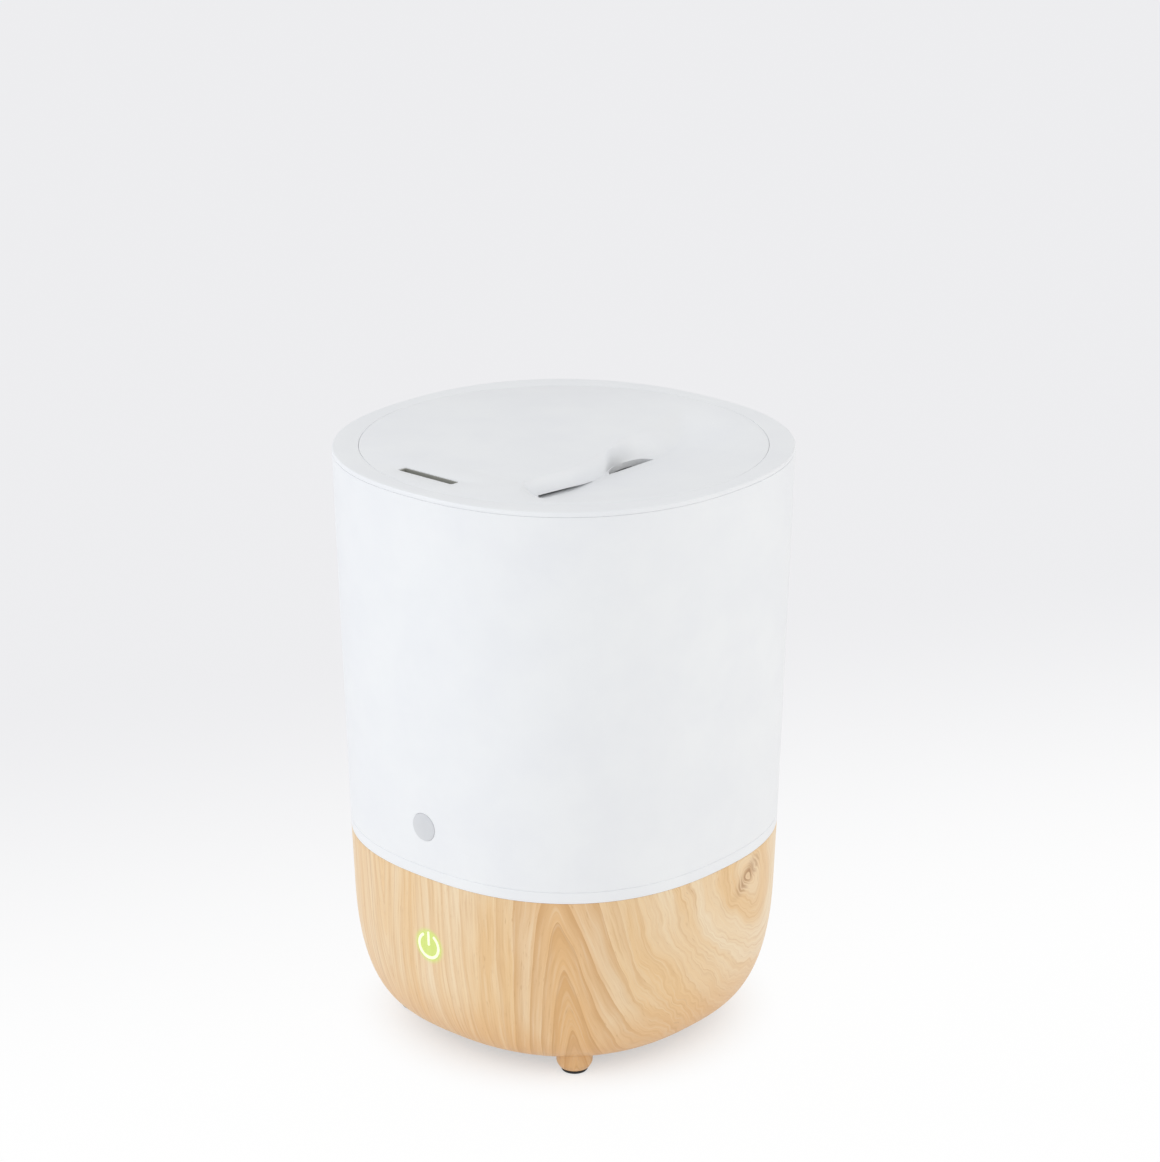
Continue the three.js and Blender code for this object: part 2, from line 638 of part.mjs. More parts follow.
function boardCorners(wide, deep) {
  const x = wide / 2 - BOARD_POST_INSET;
  const y = deep / 2 - BOARD_POST_INSET;
  return [
    [x, y],
    [-x, y],
    [-x, -y],
    [x, -y],
  ];
}

function makeBottomPlate() {
  const lip = cylinder(HATCH_RADIUS + PLATE_LIP, PLATE_BOTTOM, PLATE_TOP, 0, 0, 40);
  const ringRadius = HATCH_RADIUS - GAP;
  const ringTop = PLATE_TOP + PLATE_RING_HEIGHT;
  const ring = pipe(ringRadius, ringRadius - PLATE_RING_WALL, PLATE_TOP - LAP, ringTop, 0, 0, 40);
  const posts = [];
  const blowerPostTop = PLATE_TOP + BLOWER.lift - GAP;
  for (const [x, y] of around(BLOWER_POSTS, BLOWER.radius - BLOWER_POST_RADIUS, 90)) {
    const [postX, postY] = [BLOWER.x + x, BLOWER.y + y];
    posts.push(cylinder(BLOWER_POST_RADIUS, PLATE_TOP - LAP, blowerPostTop, postX, postY, 8));
  }
  const boardPostTop = PLATE_TOP + DRIVER_BOARD.lift - GAP;
  for (const [x, y] of boardCorners(DRIVER_BOARD.wide, DRIVER_BOARD.deep)) {
    const [postX, postY] = [DRIVER_BOARD.x + x, DRIVER_BOARD.y + y];
    posts.push(cylinder(POST_RADIUS, PLATE_TOP - LAP, boardPostTop, postX, postY, 8));
  }
  const holes = PLATE_SCREWS.map(([x, y]) => screwHole(0, PLATE_TOP + THROUGH, x, y));
  const pitch = GRILLE_SLOT + GRILLE_RIB;
  for (let i = 0; i < GRILLE_SLOTS; i++) {
    const offset = (i - (GRILLE_SLOTS - 1) / 2) * pitch;
    const half = Math.sqrt(GRILLE_RADIUS ** 2 - offset ** 2);
    const x = BLOWER.x + offset;
    holes.push(post(x, BLOWER.y, GRILLE_SLOT, 2 * half, 0, PLATE_TOP + THROUGH));
  }
  return cut(joined(lip, ring, ...posts), ...holes);
}

function addBottom(base, front) {
  addPiece(base, "base_shell", makeBaseShell(front), "wood");
  FEET.forEach(([x, y], i) => {
    const foot = subgroup(base, x, y, 0);
    addPiece(foot, `foot_pad_${i + 1}`, cylinder(PAD_RADIUS, 0, PAD_HEIGHT, 0, 0, 24), "rubber");
    const screw = subgroup(foot, 0, 0, FOOT_END + HEAD_POCKET - GAP);
    addPiece(screw, `deck_screw_${i + 1}`, screwSolid(DECK_SCREW_LENGTH), "steel");
  });
  addPiece(base, "bottom_plate", makeBottomPlate(), "darkPlastic");
  PLATE_SCREWS.forEach(([x, y], i) => {
    const screw = subgroup(base, x, y, PLATE_BOTTOM - GAP);
    addPiece(screw, `plate_screw_${i + 1}`, screwSolid(PLATE_SCREW_LENGTH), "steel");
  });
  addTouchKey(front);
}

// The glowing touch symbol with its light guide, lamp and board, in the front wall's frame.
function addTouchKey(front) {
  const symbolFace = [-SYMBOL_THICKNESS, SYMBOL_PROUD];
  addPiece(front, "power_symbol_ring", symbolRing(0, ...symbolFace), "glow");
  addPiece(front, "power_symbol_bar", symbolBar(0, ...symbolFace), "glow");
  const guideFront = -BOWL_WALL - LIGHT_GUIDE.seat;
  const guideBack = guideFront - LIGHT_GUIDE.length;
  const guide = cylinder(LIGHT_GUIDE.radius, guideBack, guideFront, 0, 0, 24);
  addPiece(front, "light_guide", guide, "clearPlastic");
  const lampFront = guideBack - GAP;
  const lampBack = lampFront - LED.height;
  addPiece(front, "power_led", post(0, 0, LED.wide, LED.wide, lampBack, lampFront), "clearPlastic");
  const boardFront = lampBack - GAP;
  const { wide, high } = CONTROL_BOARD;
  const board = post(0, 0, wide, high, boardFront - BOARD_THICKNESS, boardFront);
  addPiece(front, "control_board", board, "board");
}

// ---- Base: deck, basin and what stands in it ---------------------------------------------------

const PIVOT = { x: VALVE.x + PIVOT_ARM, y: VALVE.y, z: BASIN_FLOOR + LEVER_HEIGHT };
const LEVEL_POST_TOP = BASIN_FLOOR + FLOAT_REST + LEVEL_FLOAT.height + LEVEL_FLOAT.travel
  + GAP + CLIP_THICKNESS + GAP;
const HOLDER_TOP = BASIN_UNDERSIDE - GAP;
const PIEZO_BOTTOM = HOLDER_TOP - SEAL_THICKNESS - GAP - PIEZO_THICKNESS;
const HOLDER_BOTTOM = PIEZO_BOTTOM - GAP - HOLDER_BASE;

const basinPrism = (grow, bottom, top) => {
  const points = squircle(BASIN_HALF_WIDTH + grow, WAIST_SQUARENESS);
  return stacked([
    { z: bottom, points },
    { z: top, points },
  ]);
};

function pivotCheeks() {
  const reach = LEVER_WIDTH / 2 + CHEEK.gap + CHEEK.thickness / 2;
  const cheeks = [];
  for (const side of [-1, 1]) {
    const y = PIVOT.y + side * reach;
    const top = PIVOT.z + CHEEK.above;
    cheeks.push(post(PIVOT.x, y, CHEEK.length, CHEEK.thickness, BASIN_FLOOR - LAP, top));
  }
  return cheeks;
}

function alongY(radius, length, x, y, z, segments = 16) {
  const geometry = new THREE.CylinderGeometry(radius, radius, length, segments);
  return solid(geometry.translate(x, y, z));
}

const PIN_LENGTH = LEVER_WIDTH + 2 * (CHEEK.gap + CHEEK.thickness) + 1;

function makeDeck() {
  const plateTop = RING_BOTTOM + DECK_PLATE;
  const spigotInset = BOWL_WALL + GAP;
  const ring = bodySlice(RING_BOTTOM, RING_TOP, 0);
  const tray = bodySlice(plateTop, RING_TOP + THROUGH, DECK_RIM_WIDTH);
  const skirtBottom = RING_BOTTOM - DECK_SKIRT;
  const skirt = bodySlice(skirtBottom, RING_BOTTOM + THROUGH, spigotInset).subtract(
    bodySlice(skirtBottom - THROUGH, RING_BOTTOM + THROUGH, spigotInset + DECK_SKIRT_WALL),
  );
  const columnBottom = BOWL_FLOOR + FOOT_ROOT + GAP;
  const columns = FEET.map(([x, y]) =>
    cylinder(COLUMN_RADIUS, columnBottom, BASIN_FLOOR, x, y, 10),
  );
  const outside = joined(cut(ring, tray), skirt, basinPrism(BASIN_WALL, BASIN_UNDERSIDE, plateTop));
  const hollowed = cut(outside, basinPrism(0, BASIN_FLOOR, RING_TOP + THROUGH));

  const { x: airX, y: airY, wide, deep } = CHIMNEY;
  const chimneyTop = TANK_FLOOR_BOTTOM - CHIMNEY_GAP;
  const walls = 2 * CHIMNEY_WALL;
  const chimney = post(airX, airY, wide + walls, deep + walls, BASIN_UNDERSIDE, chimneyTop);
  const floatPost = cylinder(
    FLOAT_POST_RADIUS, BASIN_FLOOR - LAP, LEVEL_POST_TOP, LEVEL_FLOAT.x, LEVEL_FLOAT.y, 16,
  );
  const bossTop = BASIN_FLOOR + SCREW_BOSS_HEIGHT;
  const bosses = HOLDER_SCREW_PLACES.map(([x, y]) =>
    cylinder(
      SCREW_BOSS_RADIUS, BASIN_FLOOR - LAP, bossTop, TRANSDUCER.x + x, TRANSDUCER.y + y, 10,
    ),
  );
  const whole = joined(hollowed, ...columns, chimney, floatPost, ...bosses, ...pivotCheeks());

  const holes = [
    post(airX, airY, wide, deep, BASIN_UNDERSIDE - THROUGH, chimneyTop + THROUGH),
    cylinder(WELL_RADIUS, BASIN_UNDERSIDE - THROUGH, bossTop, TRANSDUCER.x, TRANSDUCER.y),
    alongY(PIVOT_RADIUS + PIVOT_CLEARANCE, 2 * PIN_LENGTH, PIVOT.x, PIVOT.y, PIVOT.z),
  ];
  for (const [x, y] of HOLDER_SCREW_PLACES) {
    const top = bossTop - BLIND_END;
    holes.push(screwHole(BASIN_UNDERSIDE - THROUGH, top, TRANSDUCER.x + x, TRANSDUCER.y + y));
  }
  for (const [x, y] of FEET) {
    holes.push(screwHole(columnBottom - THROUGH, columnBottom + DECK_SCREW_LENGTH, x, y));
  }
  return cut(whole, ...holes);
}

function addTransducer(base) {
  const group = subgroup(base, TRANSDUCER.x, TRANSDUCER.y, 0);
  const piezoTop = PIEZO_BOTTOM + PIEZO_THICKNESS;
  const seal = pipe(PIEZO_RADIUS, PIEZO_RADIUS - SEAL_BAND, piezoTop + GAP, HOLDER_TOP);
  addPiece(group, "transducer_seal", seal, "silicone");
  addPiece(group, "piezo_disc", cylinder(PIEZO_RADIUS, PIEZO_BOTTOM, piezoTop), "ceramic");
  const pocket = cylinder(PIEZO_RADIUS + GAP, PIEZO_BOTTOM - GAP, HOLDER_TOP + THROUGH);
  const bore = cylinder(PIEZO_RADIUS - 2 * SEAL_BAND, HOLDER_BOTTOM - THROUGH, HOLDER_TOP);
  const holes = HOLDER_SCREW_PLACES.map(([x, y]) =>
    screwHole(HOLDER_BOTTOM - THROUGH, HOLDER_TOP + THROUGH, x, y),
  );
  const cup = cylinder(HOLDER_RADIUS, HOLDER_BOTTOM, HOLDER_TOP, 0, 0, 28);
  addPiece(group, "transducer_holder", cut(cup, pocket, bore, ...holes), "aluminium");
  HOLDER_SCREW_PLACES.forEach(([x, y], i) => {
    const screw = subgroup(group, x, y, HOLDER_BOTTOM - GAP);
    addPiece(screw, `transducer_screw_${i + 1}`, screwSolid(HOLDER_SCREW_LENGTH), "steel");
  });
}

function addLevelFloat(base) {
  const { x, y, radius, height, travel } = LEVEL_FLOAT;
  const group = subgroup(base, x, y, BASIN_FLOOR + FLOAT_REST);
  const bore = FLOAT_POST_RADIUS + FLOAT_BORE_CLEARANCE;
  addPiece(group, "level_float", pipe(radius, bore, 0, height, 0, 0, 28), "foam");
  const clipBottom = height + travel + GAP;
  const clip = pipe(CLIP_RADIUS, FLOAT_POST_RADIUS + GAP, clipBottom, clipBottom + CLIP_THICKNESS);
  addPiece(group, "float_clip", clip, "whitePlastic");
  const switchTube = new THREE.CylinderGeometry(REED.radius, REED.radius, REED.length, 12);
  const drop = BASIN_WALL + FLOAT_REST + GAP + REED.radius;
  switchTube.rotateZ(Math.PI / 2).translate(0, 0, -drop);
  addPiece(group, "reed_switch", solid(switchTube), "clearPlastic");
}

// The lever that opens the tank's valve when its float is down, in the pivot's frame.
function addFloatLever(base) {
  const group = subgroup(base, PIVOT.x, PIVOT.y, PIVOT.z);
  const half = LEVER_THICKNESS / 2;
  const floatTop = FLOAT_REST + LEVER_FLOAT_HEIGHT - LEVER_HEIGHT;
  const arm = post((FLOAT_ARM - PIVOT_ARM) / 2, 0, FLOAT_ARM + PIVOT_ARM, LEVER_WIDTH, -half, half);
  const hub = alongY(LEVER_HUB_RADIUS, LEVER_WIDTH, 0, 0, 0, 20);
  const pusher = cylinder(PUSHER_RADIUS, 0, half + PUSHER_HEIGHT, -PIVOT_ARM, 0, 16);
  const stalk = cylinder(PUSHER_RADIUS, floatTop + GAP, 0, FLOAT_ARM, 0, 16);
  const bore = alongY(PIVOT_RADIUS + PIVOT_CLEARANCE, 2 * LEVER_WIDTH, 0, 0, 0);
  addPiece(group, "float_lever", joined(arm, hub, pusher, stalk).subtract(bore), "whitePlastic");
  const float = cylinder(
    LEVER_FLOAT_RADIUS, floatTop - LEVER_FLOAT_HEIGHT, floatTop, FLOAT_ARM, 0, 28,
  );
  addPiece(group, "lever_float", float, "foam");
  addPiece(group, "lever_pin", alongY(PIVOT_RADIUS, PIN_LENGTH, 0, 0, 0), "steel");
}

// ---- Base: blower, duct, boards, jack and leads --------------------------------------------

const BLOWER_BOTTOM = PLATE_TOP + BLOWER.lift;
const BLOWER_MIDDLE = BLOWER_BOTTOM + BLOWER.height / 2;
const OUTLET_MOUTH = BLOWER.x - BLOWER.radius - 2;

// The blower's outline with its outlet, grown or shrunk by an offset.
function blowerVolume(grow, bottom, top, run) {
  const scroll = cylinder(BLOWER.radius + grow, bottom, top, BLOWER.x, BLOWER.y, 28);
  const half = CHIMNEY.deep / 2 + BLOWER_WALL + grow;
  const back = CHIMNEY.y + half;
  const front = CHIMNEY.y - half;
  const channelEnd = BLOWER.x + BLOWER.radius / 4 + grow;
  return scroll.add(block(OUTLET_MOUTH - run, channelEnd, front, back, bottom, top));
}

function makeRotor() {
  const bottom = BLOWER_WALL + ROTOR_RUNNING_GAP;
  const top = BLOWER.height - BLOWER_WALL - GAP - ROTOR_RUNNING_GAP;
  const hub = cylinder(ROTOR_HUB_RADIUS, bottom, top);
  const plate = cylinder(ROTOR_RADIUS, top - ROTOR_PLATE, top, 0, 0, 28);
  const blades = [];
  for (let i = 0; i < ROTOR_BLADES; i++) {
    const length = ROTOR_RADIUS - BLADE_ROOT_RADIUS;
    const bladeTop = top - ROTOR_PLATE / 2;
    const blade = new THREE.BoxGeometry(length, BLADE_THICKNESS, bladeTop - bottom);
    blade.rotateZ(THREE.MathUtils.degToRad(-BLADE_SWEEP));
    blade.translate(ROTOR_RADIUS - length / 2 - BLADE_THICKNESS / 2, 0, (bottom + bladeTop) / 2);
    blade.rotateZ((i / ROTOR_BLADES) * 2 * Math.PI);
    blades.push(solid(blade));
  }
  const motorSpace = cylinder(MOTOR_RADIUS + MOTOR_GAP, bottom + ROTOR_PLATE, top + THROUGH);
  const shell = cut(joined(hub, plate, ...blades), motorSpace);
  return shell.add(cylinder(SHAFT_RADIUS, bottom + ROTOR_PLATE / 2, top - BLIND_END, 0, 0, 12));
}

function addBlower(base) {
  const top = BLOWER_BOTTOM + BLOWER.height;
  const wallTop = top - BLOWER_WALL - GAP;
  const inside = blowerVolume(-BLOWER_WALL, BLOWER_BOTTOM + BLOWER_WALL, top, THROUGH);
  const inlet = cylinder(
    BLOWER_INLET_RADIUS, BLOWER_BOTTOM - THROUGH, BLOWER_MIDDLE, BLOWER.x, BLOWER.y, 32,
  );
  const housing = cut(blowerVolume(0, BLOWER_BOTTOM, wallTop, 0), inside, inlet);
  addPiece(base, "blower_housing", housing, "darkPlastic");
  addPiece(base, "blower_cover", blowerVolume(0, top - BLOWER_WALL, top, 0), "darkPlastic");
  const group = subgroup(base, BLOWER.x, BLOWER.y, BLOWER_BOTTOM);
  const motorTop = BLOWER.height - BLOWER_WALL - GAP;
  const motor = cylinder(MOTOR_RADIUS, motorTop - MOTOR_HEIGHT, motorTop, 0, 0, 24);
  const shaftHole = cylinder(SHAFT_RADIUS + GAP, 0, motorTop - BLIND_END, 0, 0, 12);
  addPiece(group, "fan_motor", motor.subtract(shaftHole), "steel");
  addPiece(group, "fan_rotor", makeRotor(), "darkPlastic");
}

// A bent rectangular tube from the blower's outlet up to the chimney.
function ductSweep(grow, overrun) {
  const start = new THREE.Vector3(OUTLET_MOUTH - GAP + overrun, CHIMNEY.y, BLOWER_MIDDLE);
  const bendStart = new THREE.Vector3(CHIMNEY.x + DUCT_BEND, CHIMNEY.y, BLOWER_MIDDLE);
  const corner = new THREE.Vector3(CHIMNEY.x, CHIMNEY.y, BLOWER_MIDDLE);
  const bendEnd = new THREE.Vector3(CHIMNEY.x, CHIMNEY.y, BLOWER_MIDDLE + DUCT_BEND);
  const end = new THREE.Vector3(CHIMNEY.x, CHIMNEY.y, BASIN_UNDERSIDE - GAP + overrun);
  const path = new THREE.CurvePath();
  path.add(new THREE.LineCurve3(start, bendStart));
  path.add(new THREE.QuadraticBezierCurve3(bendStart, corner, bendEnd));
  path.add(new THREE.LineCurve3(bendEnd, end));
  const halfWide = CHIMNEY.wide / 2 + grow;
  const halfDeep = CHIMNEY.deep / 2 + grow;
  const section = new THREE.Shape([
    new THREE.Vector2(-halfWide, -halfDeep),
    new THREE.Vector2(halfWide, -halfDeep),
    new THREE.Vector2(halfWide, halfDeep),
    new THREE.Vector2(-halfWide, halfDeep),
  ]);
  return solid(new THREE.ExtrudeGeometry(section, { steps: 16, extrudePath: path }));
}

function makeHeatSink() {
  const { wide, deep, height, fins, fin, web } = HEAT_SINK;
  const solids = [block(-wide / 2, wide / 2, -deep / 2, deep / 2, 0, web)];
  for (let i = 0; i < fins; i++) {
    const x = -wide / 2 + fin / 2 + (i / (fins - 1)) * (wide - fin);
    solids.push(post(x, 0, fin, deep, 0, height));
  }
  return joined(...solids);
}

function addDriverBoard(base) {
  const { x, y, wide, deep, lift } = DRIVER_BOARD;
  const group = subgroup(base, x, y, PLATE_TOP + lift);
  addPiece(group, "driver_board", post(0, 0, wide, deep, 0, BOARD_THICKNESS), "board");
  const seat = BOARD_THICKNESS + GAP;
  const sink = subgroup(group, HEAT_SINK.x, HEAT_SINK.y, seat);
  addPiece(sink, "heat_sink", makeHeatSink(), "aluminium");
  const can = subgroup(group, CAPACITOR.x, CAPACITOR.y, seat);
  const roll = cylinder(CAPACITOR.radius, 0, CAPACITOR.height, 0, 0, 20);
  addPiece(can, "capacitor", roll, "darkPlastic");
  const coil = subgroup(group, INDUCTOR.x, INDUCTOR.y, seat);
  addPiece(coil, "inductor", pipe(INDUCTOR.radius, INDUCTOR.bore, 0, INDUCTOR.height), "copper");
}

// The power jack in a frame whose -Z points out of the back wall.
function addJack(base) {
  const group = subgroup(base, 0, taper(JACK_HEIGHT) - JACK.recess, JACK_HEIGHT);
  group.rotation.x = Math.PI / 2;
  const flangeFront = JACK_FLANGE.behind;
  const flangeBack = flangeFront + JACK_FLANGE.thickness;
  const bodyBack = flangeBack + JACK_BODY.length;
  const shell = joined(
    cylinder(JACK.barrel, 0, flangeBack, 0, 0, 24),
    cylinder(JACK.barrel + JACK_FLANGE.width, flangeFront, flangeBack, 0, 0, 24),
    post(0, 0, JACK_BODY.wide, JACK_BODY.high, flangeBack - LAP, bodyBack),
  );
  const bore = cylinder(JACK.barrel - JACK.wall, -THROUGH, JACK.depth, 0, 0, 20);
  const pin = cylinder(JACK.pin, JACK.pinInset, JACK.depth + LAP, 0, 0, 12);
  addPiece(group, "dc_jack", shell.subtract(bore).add(pin), "darkPlastic");
}

function lead(points) {
  const path = new THREE.CatmullRomCurve3(points.map((point) => new THREE.Vector3(...point)));
  const outline = [];
  for (let i = 0; i < 5; i++) {
    const angle = (i / 5) * 2 * Math.PI;
    outline.push(new THREE.Vector2(LEAD_RADIUS * Math.cos(angle), LEAD_RADIUS * Math.sin(angle)));
  }
  const settings = { steps: 5 * (points.length - 1), extrudePath: path };
  return solid(new THREE.ExtrudeGeometry(new THREE.Shape(outline), settings));
}

function addLeads(base, front) {
  const boardTop = PLATE_TOP + DRIVER_BOARD.lift + BOARD_THICKNESS + GAP;
  const { x, y } = DRIVER_BOARD;
  const jackBack = taper(JACK_HEIGHT) - JACK.recess - JACK_FLANGE.behind
    - JACK_FLANGE.thickness - JACK_BODY.length - GAP;
  const jackRoute = [
    [0, jackBack, JACK_HEIGHT],
    [-2, jackBack - 14, JACK_HEIGHT - 4],
    [-9, 34, 46],
    [-14, 10, 44],
    [x + 11, y + 14, 36],
    [x + 11, y + 14, boardTop],
  ];
  addPiece(base, "jack_lead", lead(jackRoute), "darkPlastic");
  const transducerRoute = [
    [TRANSDUCER.x, TRANSDUCER.y, PIEZO_BOTTOM - GAP],
    [TRANSDUCER.x, TRANSDUCER.y, HOLDER_BOTTOM - 6],
    [x + 6, y - 24, 40],
    [x - 1, y - 14.5, 30],
    [x - 1, y - 14.5, boardTop],
  ];
  addPiece(base, "transducer_lead", lead(transducerRoute), "rubber");
  const boardDepth = BOWL_WALL + LIGHT_GUIDE.seat + LIGHT_GUIDE.length + LED.height
    + BOARD_THICKNESS + 2 * GAP;
  const controlBack = -boardDepth - 2 * GAP;
  const controlStart = new THREE.Vector3(-8, -4, controlBack).applyMatrix4(front.matrix);
  const controlSag = new THREE.Vector3(-10, -8, controlBack - 8).applyMatrix4(front.matrix);
  const controlRoute = [
    controlStart.toArray(),
    controlSag.toArray(),
    [x + 9, y - 26, 36],
    [x + 10.5, y - 14.5, 30],
    [x + 10.5, y - 14.5, boardTop],
  ];
  addPiece(base, "control_lead", lead(controlRoute), "rubber");
}

// ---- Tank: wall, floor, mist tube, collar, badge and valve ---------------------------------

const TUBE_INNER = {
  length: MIST_SLOT.length + 2 * (NOZZLE_WALL + TUBE_CLEARANCE),
  width: MIST_SLOT.width + 2 * (NOZZLE_WALL + TUBE_CLEARANCE),
};

function funnelOutline(grow) {
  const { back, radiusX, radiusY } = TUBE_FUNNEL;
  return ellipse(TRANSDUCER.x, TRANSDUCER.y + back, radiusX + grow, radiusY + grow);
}

// The mist tube's inside, or its outside when grown by the wall.
function tubeVolume(grow, bottom, top) {
  const mouth = funnelOutline(grow);
  const { length, width } = TUBE_INNER;
  const corner = MIST_SLOT.corner + NOZZLE_WALL + TUBE_CLEARANCE + grow;
  const shaft = slotOutline(
    MIST_SLOT.x, MIST_SLOT.y, length + 2 * grow, width + 2 * grow, corner,
  );
  const layers = [{ z: bottom, points: mouth }];
  const funnelBottom = TANK_FLOOR_TOP + TUBE_SOCKET.height + GAP;
  for (let step = 0; step <= TUBE_FUNNEL_STEPS; step++) {
    const share = step / TUBE_FUNNEL_STEPS;
    const points = mouth.map((point, i) => point.clone().lerp(shaft[i], smooth(share)));
    layers.push({ z: funnelBottom + share * TUBE_FUNNEL.height, points });
  }
  layers.push({ z: top, points: shaft });
  return stacked(layers);
}

function makeTankWall(badgeGroup) {
  const wall = bodySlice(TANK_BOTTOM, TANK_TOP, 0);
  const ledgeTop = TANK_BOTTOM + TANK_LEDGE_HEIGHT;
  const inside = bodySlice(ledgeTop, TANK_TOP + THROUGH, TANK_WALL);
  const opening = bodySlice(TANK_BOTTOM - THROUGH, ledgeTop + THROUGH, TANK_WALL + TANK_LEDGE);
  const pocket = cylinder(BADGE_RADIUS + GAP, BADGE_PROUD - BADGE_THICKNESS - GAP, THROUGH);
  return cut(wall, inside, opening, inParent(badgeGroup, pocket));
}

function makeTankFloor() {
  const plate = bodySlice(TANK_FLOOR_BOTTOM, TANK_FLOOR_TOP, TANK_WALL + GAP);
  const skirtBottom = TANK_FLOOR_BOTTOM - TANK_SKIRT_DEPTH;
  const skirt = basinPrism(-TANK_SKIRT_CLEARANCE, skirtBottom, TANK_FLOOR_TOP).subtract(
    basinPrism(-TANK_SKIRT_CLEARANCE - TANK_SKIRT_WALL, skirtBottom - THROUGH, TANK_FLOOR_BOTTOM),
  );
  const { wall, height } = TUBE_SOCKET;
  const socketInner = TUBE_WALL + GAP;
  const socketOuter = socketInner + wall;
  const socket = stacked([
    { z: TANK_FLOOR_BOTTOM, points: funnelOutline(socketOuter) },
    { z: TANK_FLOOR_TOP + height, points: funnelOutline(socketOuter) },
  ]);
  const socketBore = stacked([
    { z: TANK_FLOOR_TOP, points: funnelOutline(socketInner) },
    { z: TANK_FLOOR_TOP + height + THROUGH, points: funnelOutline(socketInner) },
  ]);
  const mistHole = stacked([
    { z: TANK_FLOOR_BOTTOM - THROUGH, points: funnelOutline(0) },
    { z: TANK_FLOOR_TOP + THROUGH, points: funnelOutline(0) },
  ]);
  const neckBottom = TANK_FLOOR_BOTTOM - VALVE_NECK_DEPTH;
  const neckRadius = VALVE_HOLE_RADIUS + VALVE_NECK_WALL;
  const neck = cylinder(neckRadius, neckBottom, TANK_FLOOR_TOP, VALVE.x, VALVE.y);
  const valveHole = cylinder(
    VALVE_HOLE_RADIUS, neckBottom - THROUGH, TANK_FLOOR_TOP + THROUGH, VALVE.x, VALVE.y,
  );
  return cut(joined(plate, skirt, socket, neck), socketBore, mistHole, valveHole);
}

function makeCollar() {
  const edgeBottom = HEIGHT - COLLAR_EDGE_DROP;
  const rim = stacked([layerAt(RIM_BOTTOM), layerAt(edgeBottom), layerAt(HEIGHT, COLLAR_EDGE_IN)]);
  const outer = COLLAR_BORE + COLLAR_WALL;
  const lap = RIM_BOTTOM + COLLAR_RIM / 2;
  const wall = cylinder(outer, COLLAR_BOTTOM, lap, 0, 0, LID_SEGMENTS);
  const spigotOuter = TANK_WALL + GAP;
  const spigotBottom = RIM_BOTTOM - COLLAR_SPIGOT.depth;
  const spigot = bodySlice(spigotBottom, lap, spigotOuter).subtract(
    bodySlice(spigotBottom - THROUGH, RIM_BOTTOM, spigotOuter + COLLAR_SPIGOT.wall),
  );
  const ledgeTop = COLLAR_BOTTOM + COLLAR_LEDGE_THICKNESS;
  const ledgeBore = COLLAR_BORE - COLLAR_LEDGE;
  return cut(
    joined(rim, wall, spigot),
    cylinder(COLLAR_BORE, ledgeTop, HEIGHT + THROUGH, 0, 0, LID_SEGMENTS),
    cylinder(ledgeBore, COLLAR_BOTTOM - THROUGH, ledgeTop + THROUGH, 0, 0, LID_SEGMENTS),
  );
}

class Helix extends THREE.Curve {
  constructor(radius, length, turns) {
    super();
    Object.assign(this, { radius, length, turns });
  }
  getPoint(share, target = new THREE.Vector3()) {
    const angle = share * this.turns * 2 * Math.PI;
    const { radius, length } = this;
    return target.set(radius * Math.cos(angle), radius * Math.sin(angle), share * length);
  }
}

function makeSpring() {
  const path = new Helix(SPRING_RADIUS, SPRING_LENGTH - 2 * SPRING_WIRE, SPRING_TURNS);
  const wire = [];
  for (let i = 0; i < 4; i++) {
    const angle = (i / 4) * 2 * Math.PI;
    wire.push(new THREE.Vector2(SPRING_WIRE * Math.cos(angle), SPRING_WIRE * Math.sin(angle)));
  }
  const settings = { steps: 10 * SPRING_TURNS, extrudePath: path };
  const coil = new THREE.ExtrudeGeometry(new THREE.Shape(wire), settings);
  return solid(coil.translate(0, 0, SPRING_WIRE));
}

// The tank's outlet valve, in a frame on the top of its floor.
function addValve(tank) {
  const group = subgroup(tank, VALVE.x, VALVE.y, TANK_FLOOR_TOP);
  const sealBottom = VALVE_LIFT + GAP;
  const sealTop = sealBottom + VALVE_SEAL_THICKNESS;
  const flangeTop = sealTop + GAP + VALVE_FLANGE_THICKNESS;
  const springBottom = flangeTop + GAP;
  const cageBottom = springBottom + SPRING_LENGTH + GAP;
  const cageTop = cageBottom + CAGE_TOP;
  const stemBottom = PIVOT.z + LEVER_THICKNESS / 2 + PUSHER_HEIGHT + GAP - TANK_FLOOR_TOP;
  const bore = STEM_RADIUS + STEM_CLEARANCE;

  const stem = joined(
    cylinder(STEM_RADIUS, stemBottom, cageTop + STEM_REACH, 0, 0, 16),
    cylinder(VALVE_FLANGE_RADIUS, sealTop + GAP, flangeTop, 0, 0, 24),
  );
  addPiece(group, "valve_stem", stem, "whitePlastic");
  const seal = pipe(VALVE_SEAL_RADIUS, bore, sealBottom, sealTop, 0, 0, 28);
  addPiece(group, "valve_seal", seal, "silicone");
  const springGroup = subgroup(group, 0, 0, springBottom);
  addPiece(springGroup, "valve_spring", makeSpring(), "steel");
  const legs = around(CAGE_LEGS, CAGE_RADIUS - CAGE_LEG / 2, 30).map(([x, y]) =>
    post(x, y, CAGE_LEG, CAGE_LEG, GAP, cageTop),
  );
  const roof = cylinder(CAGE_RADIUS, cageBottom, cageTop, 0, 0, 28);
  const guideHole = cylinder(bore, cageBottom - THROUGH, cageTop + THROUGH, 0, 0, 16);
  addPiece(group, "valve_cage", joined(roof, ...legs).subtract(guideHole), "whitePlastic");
}

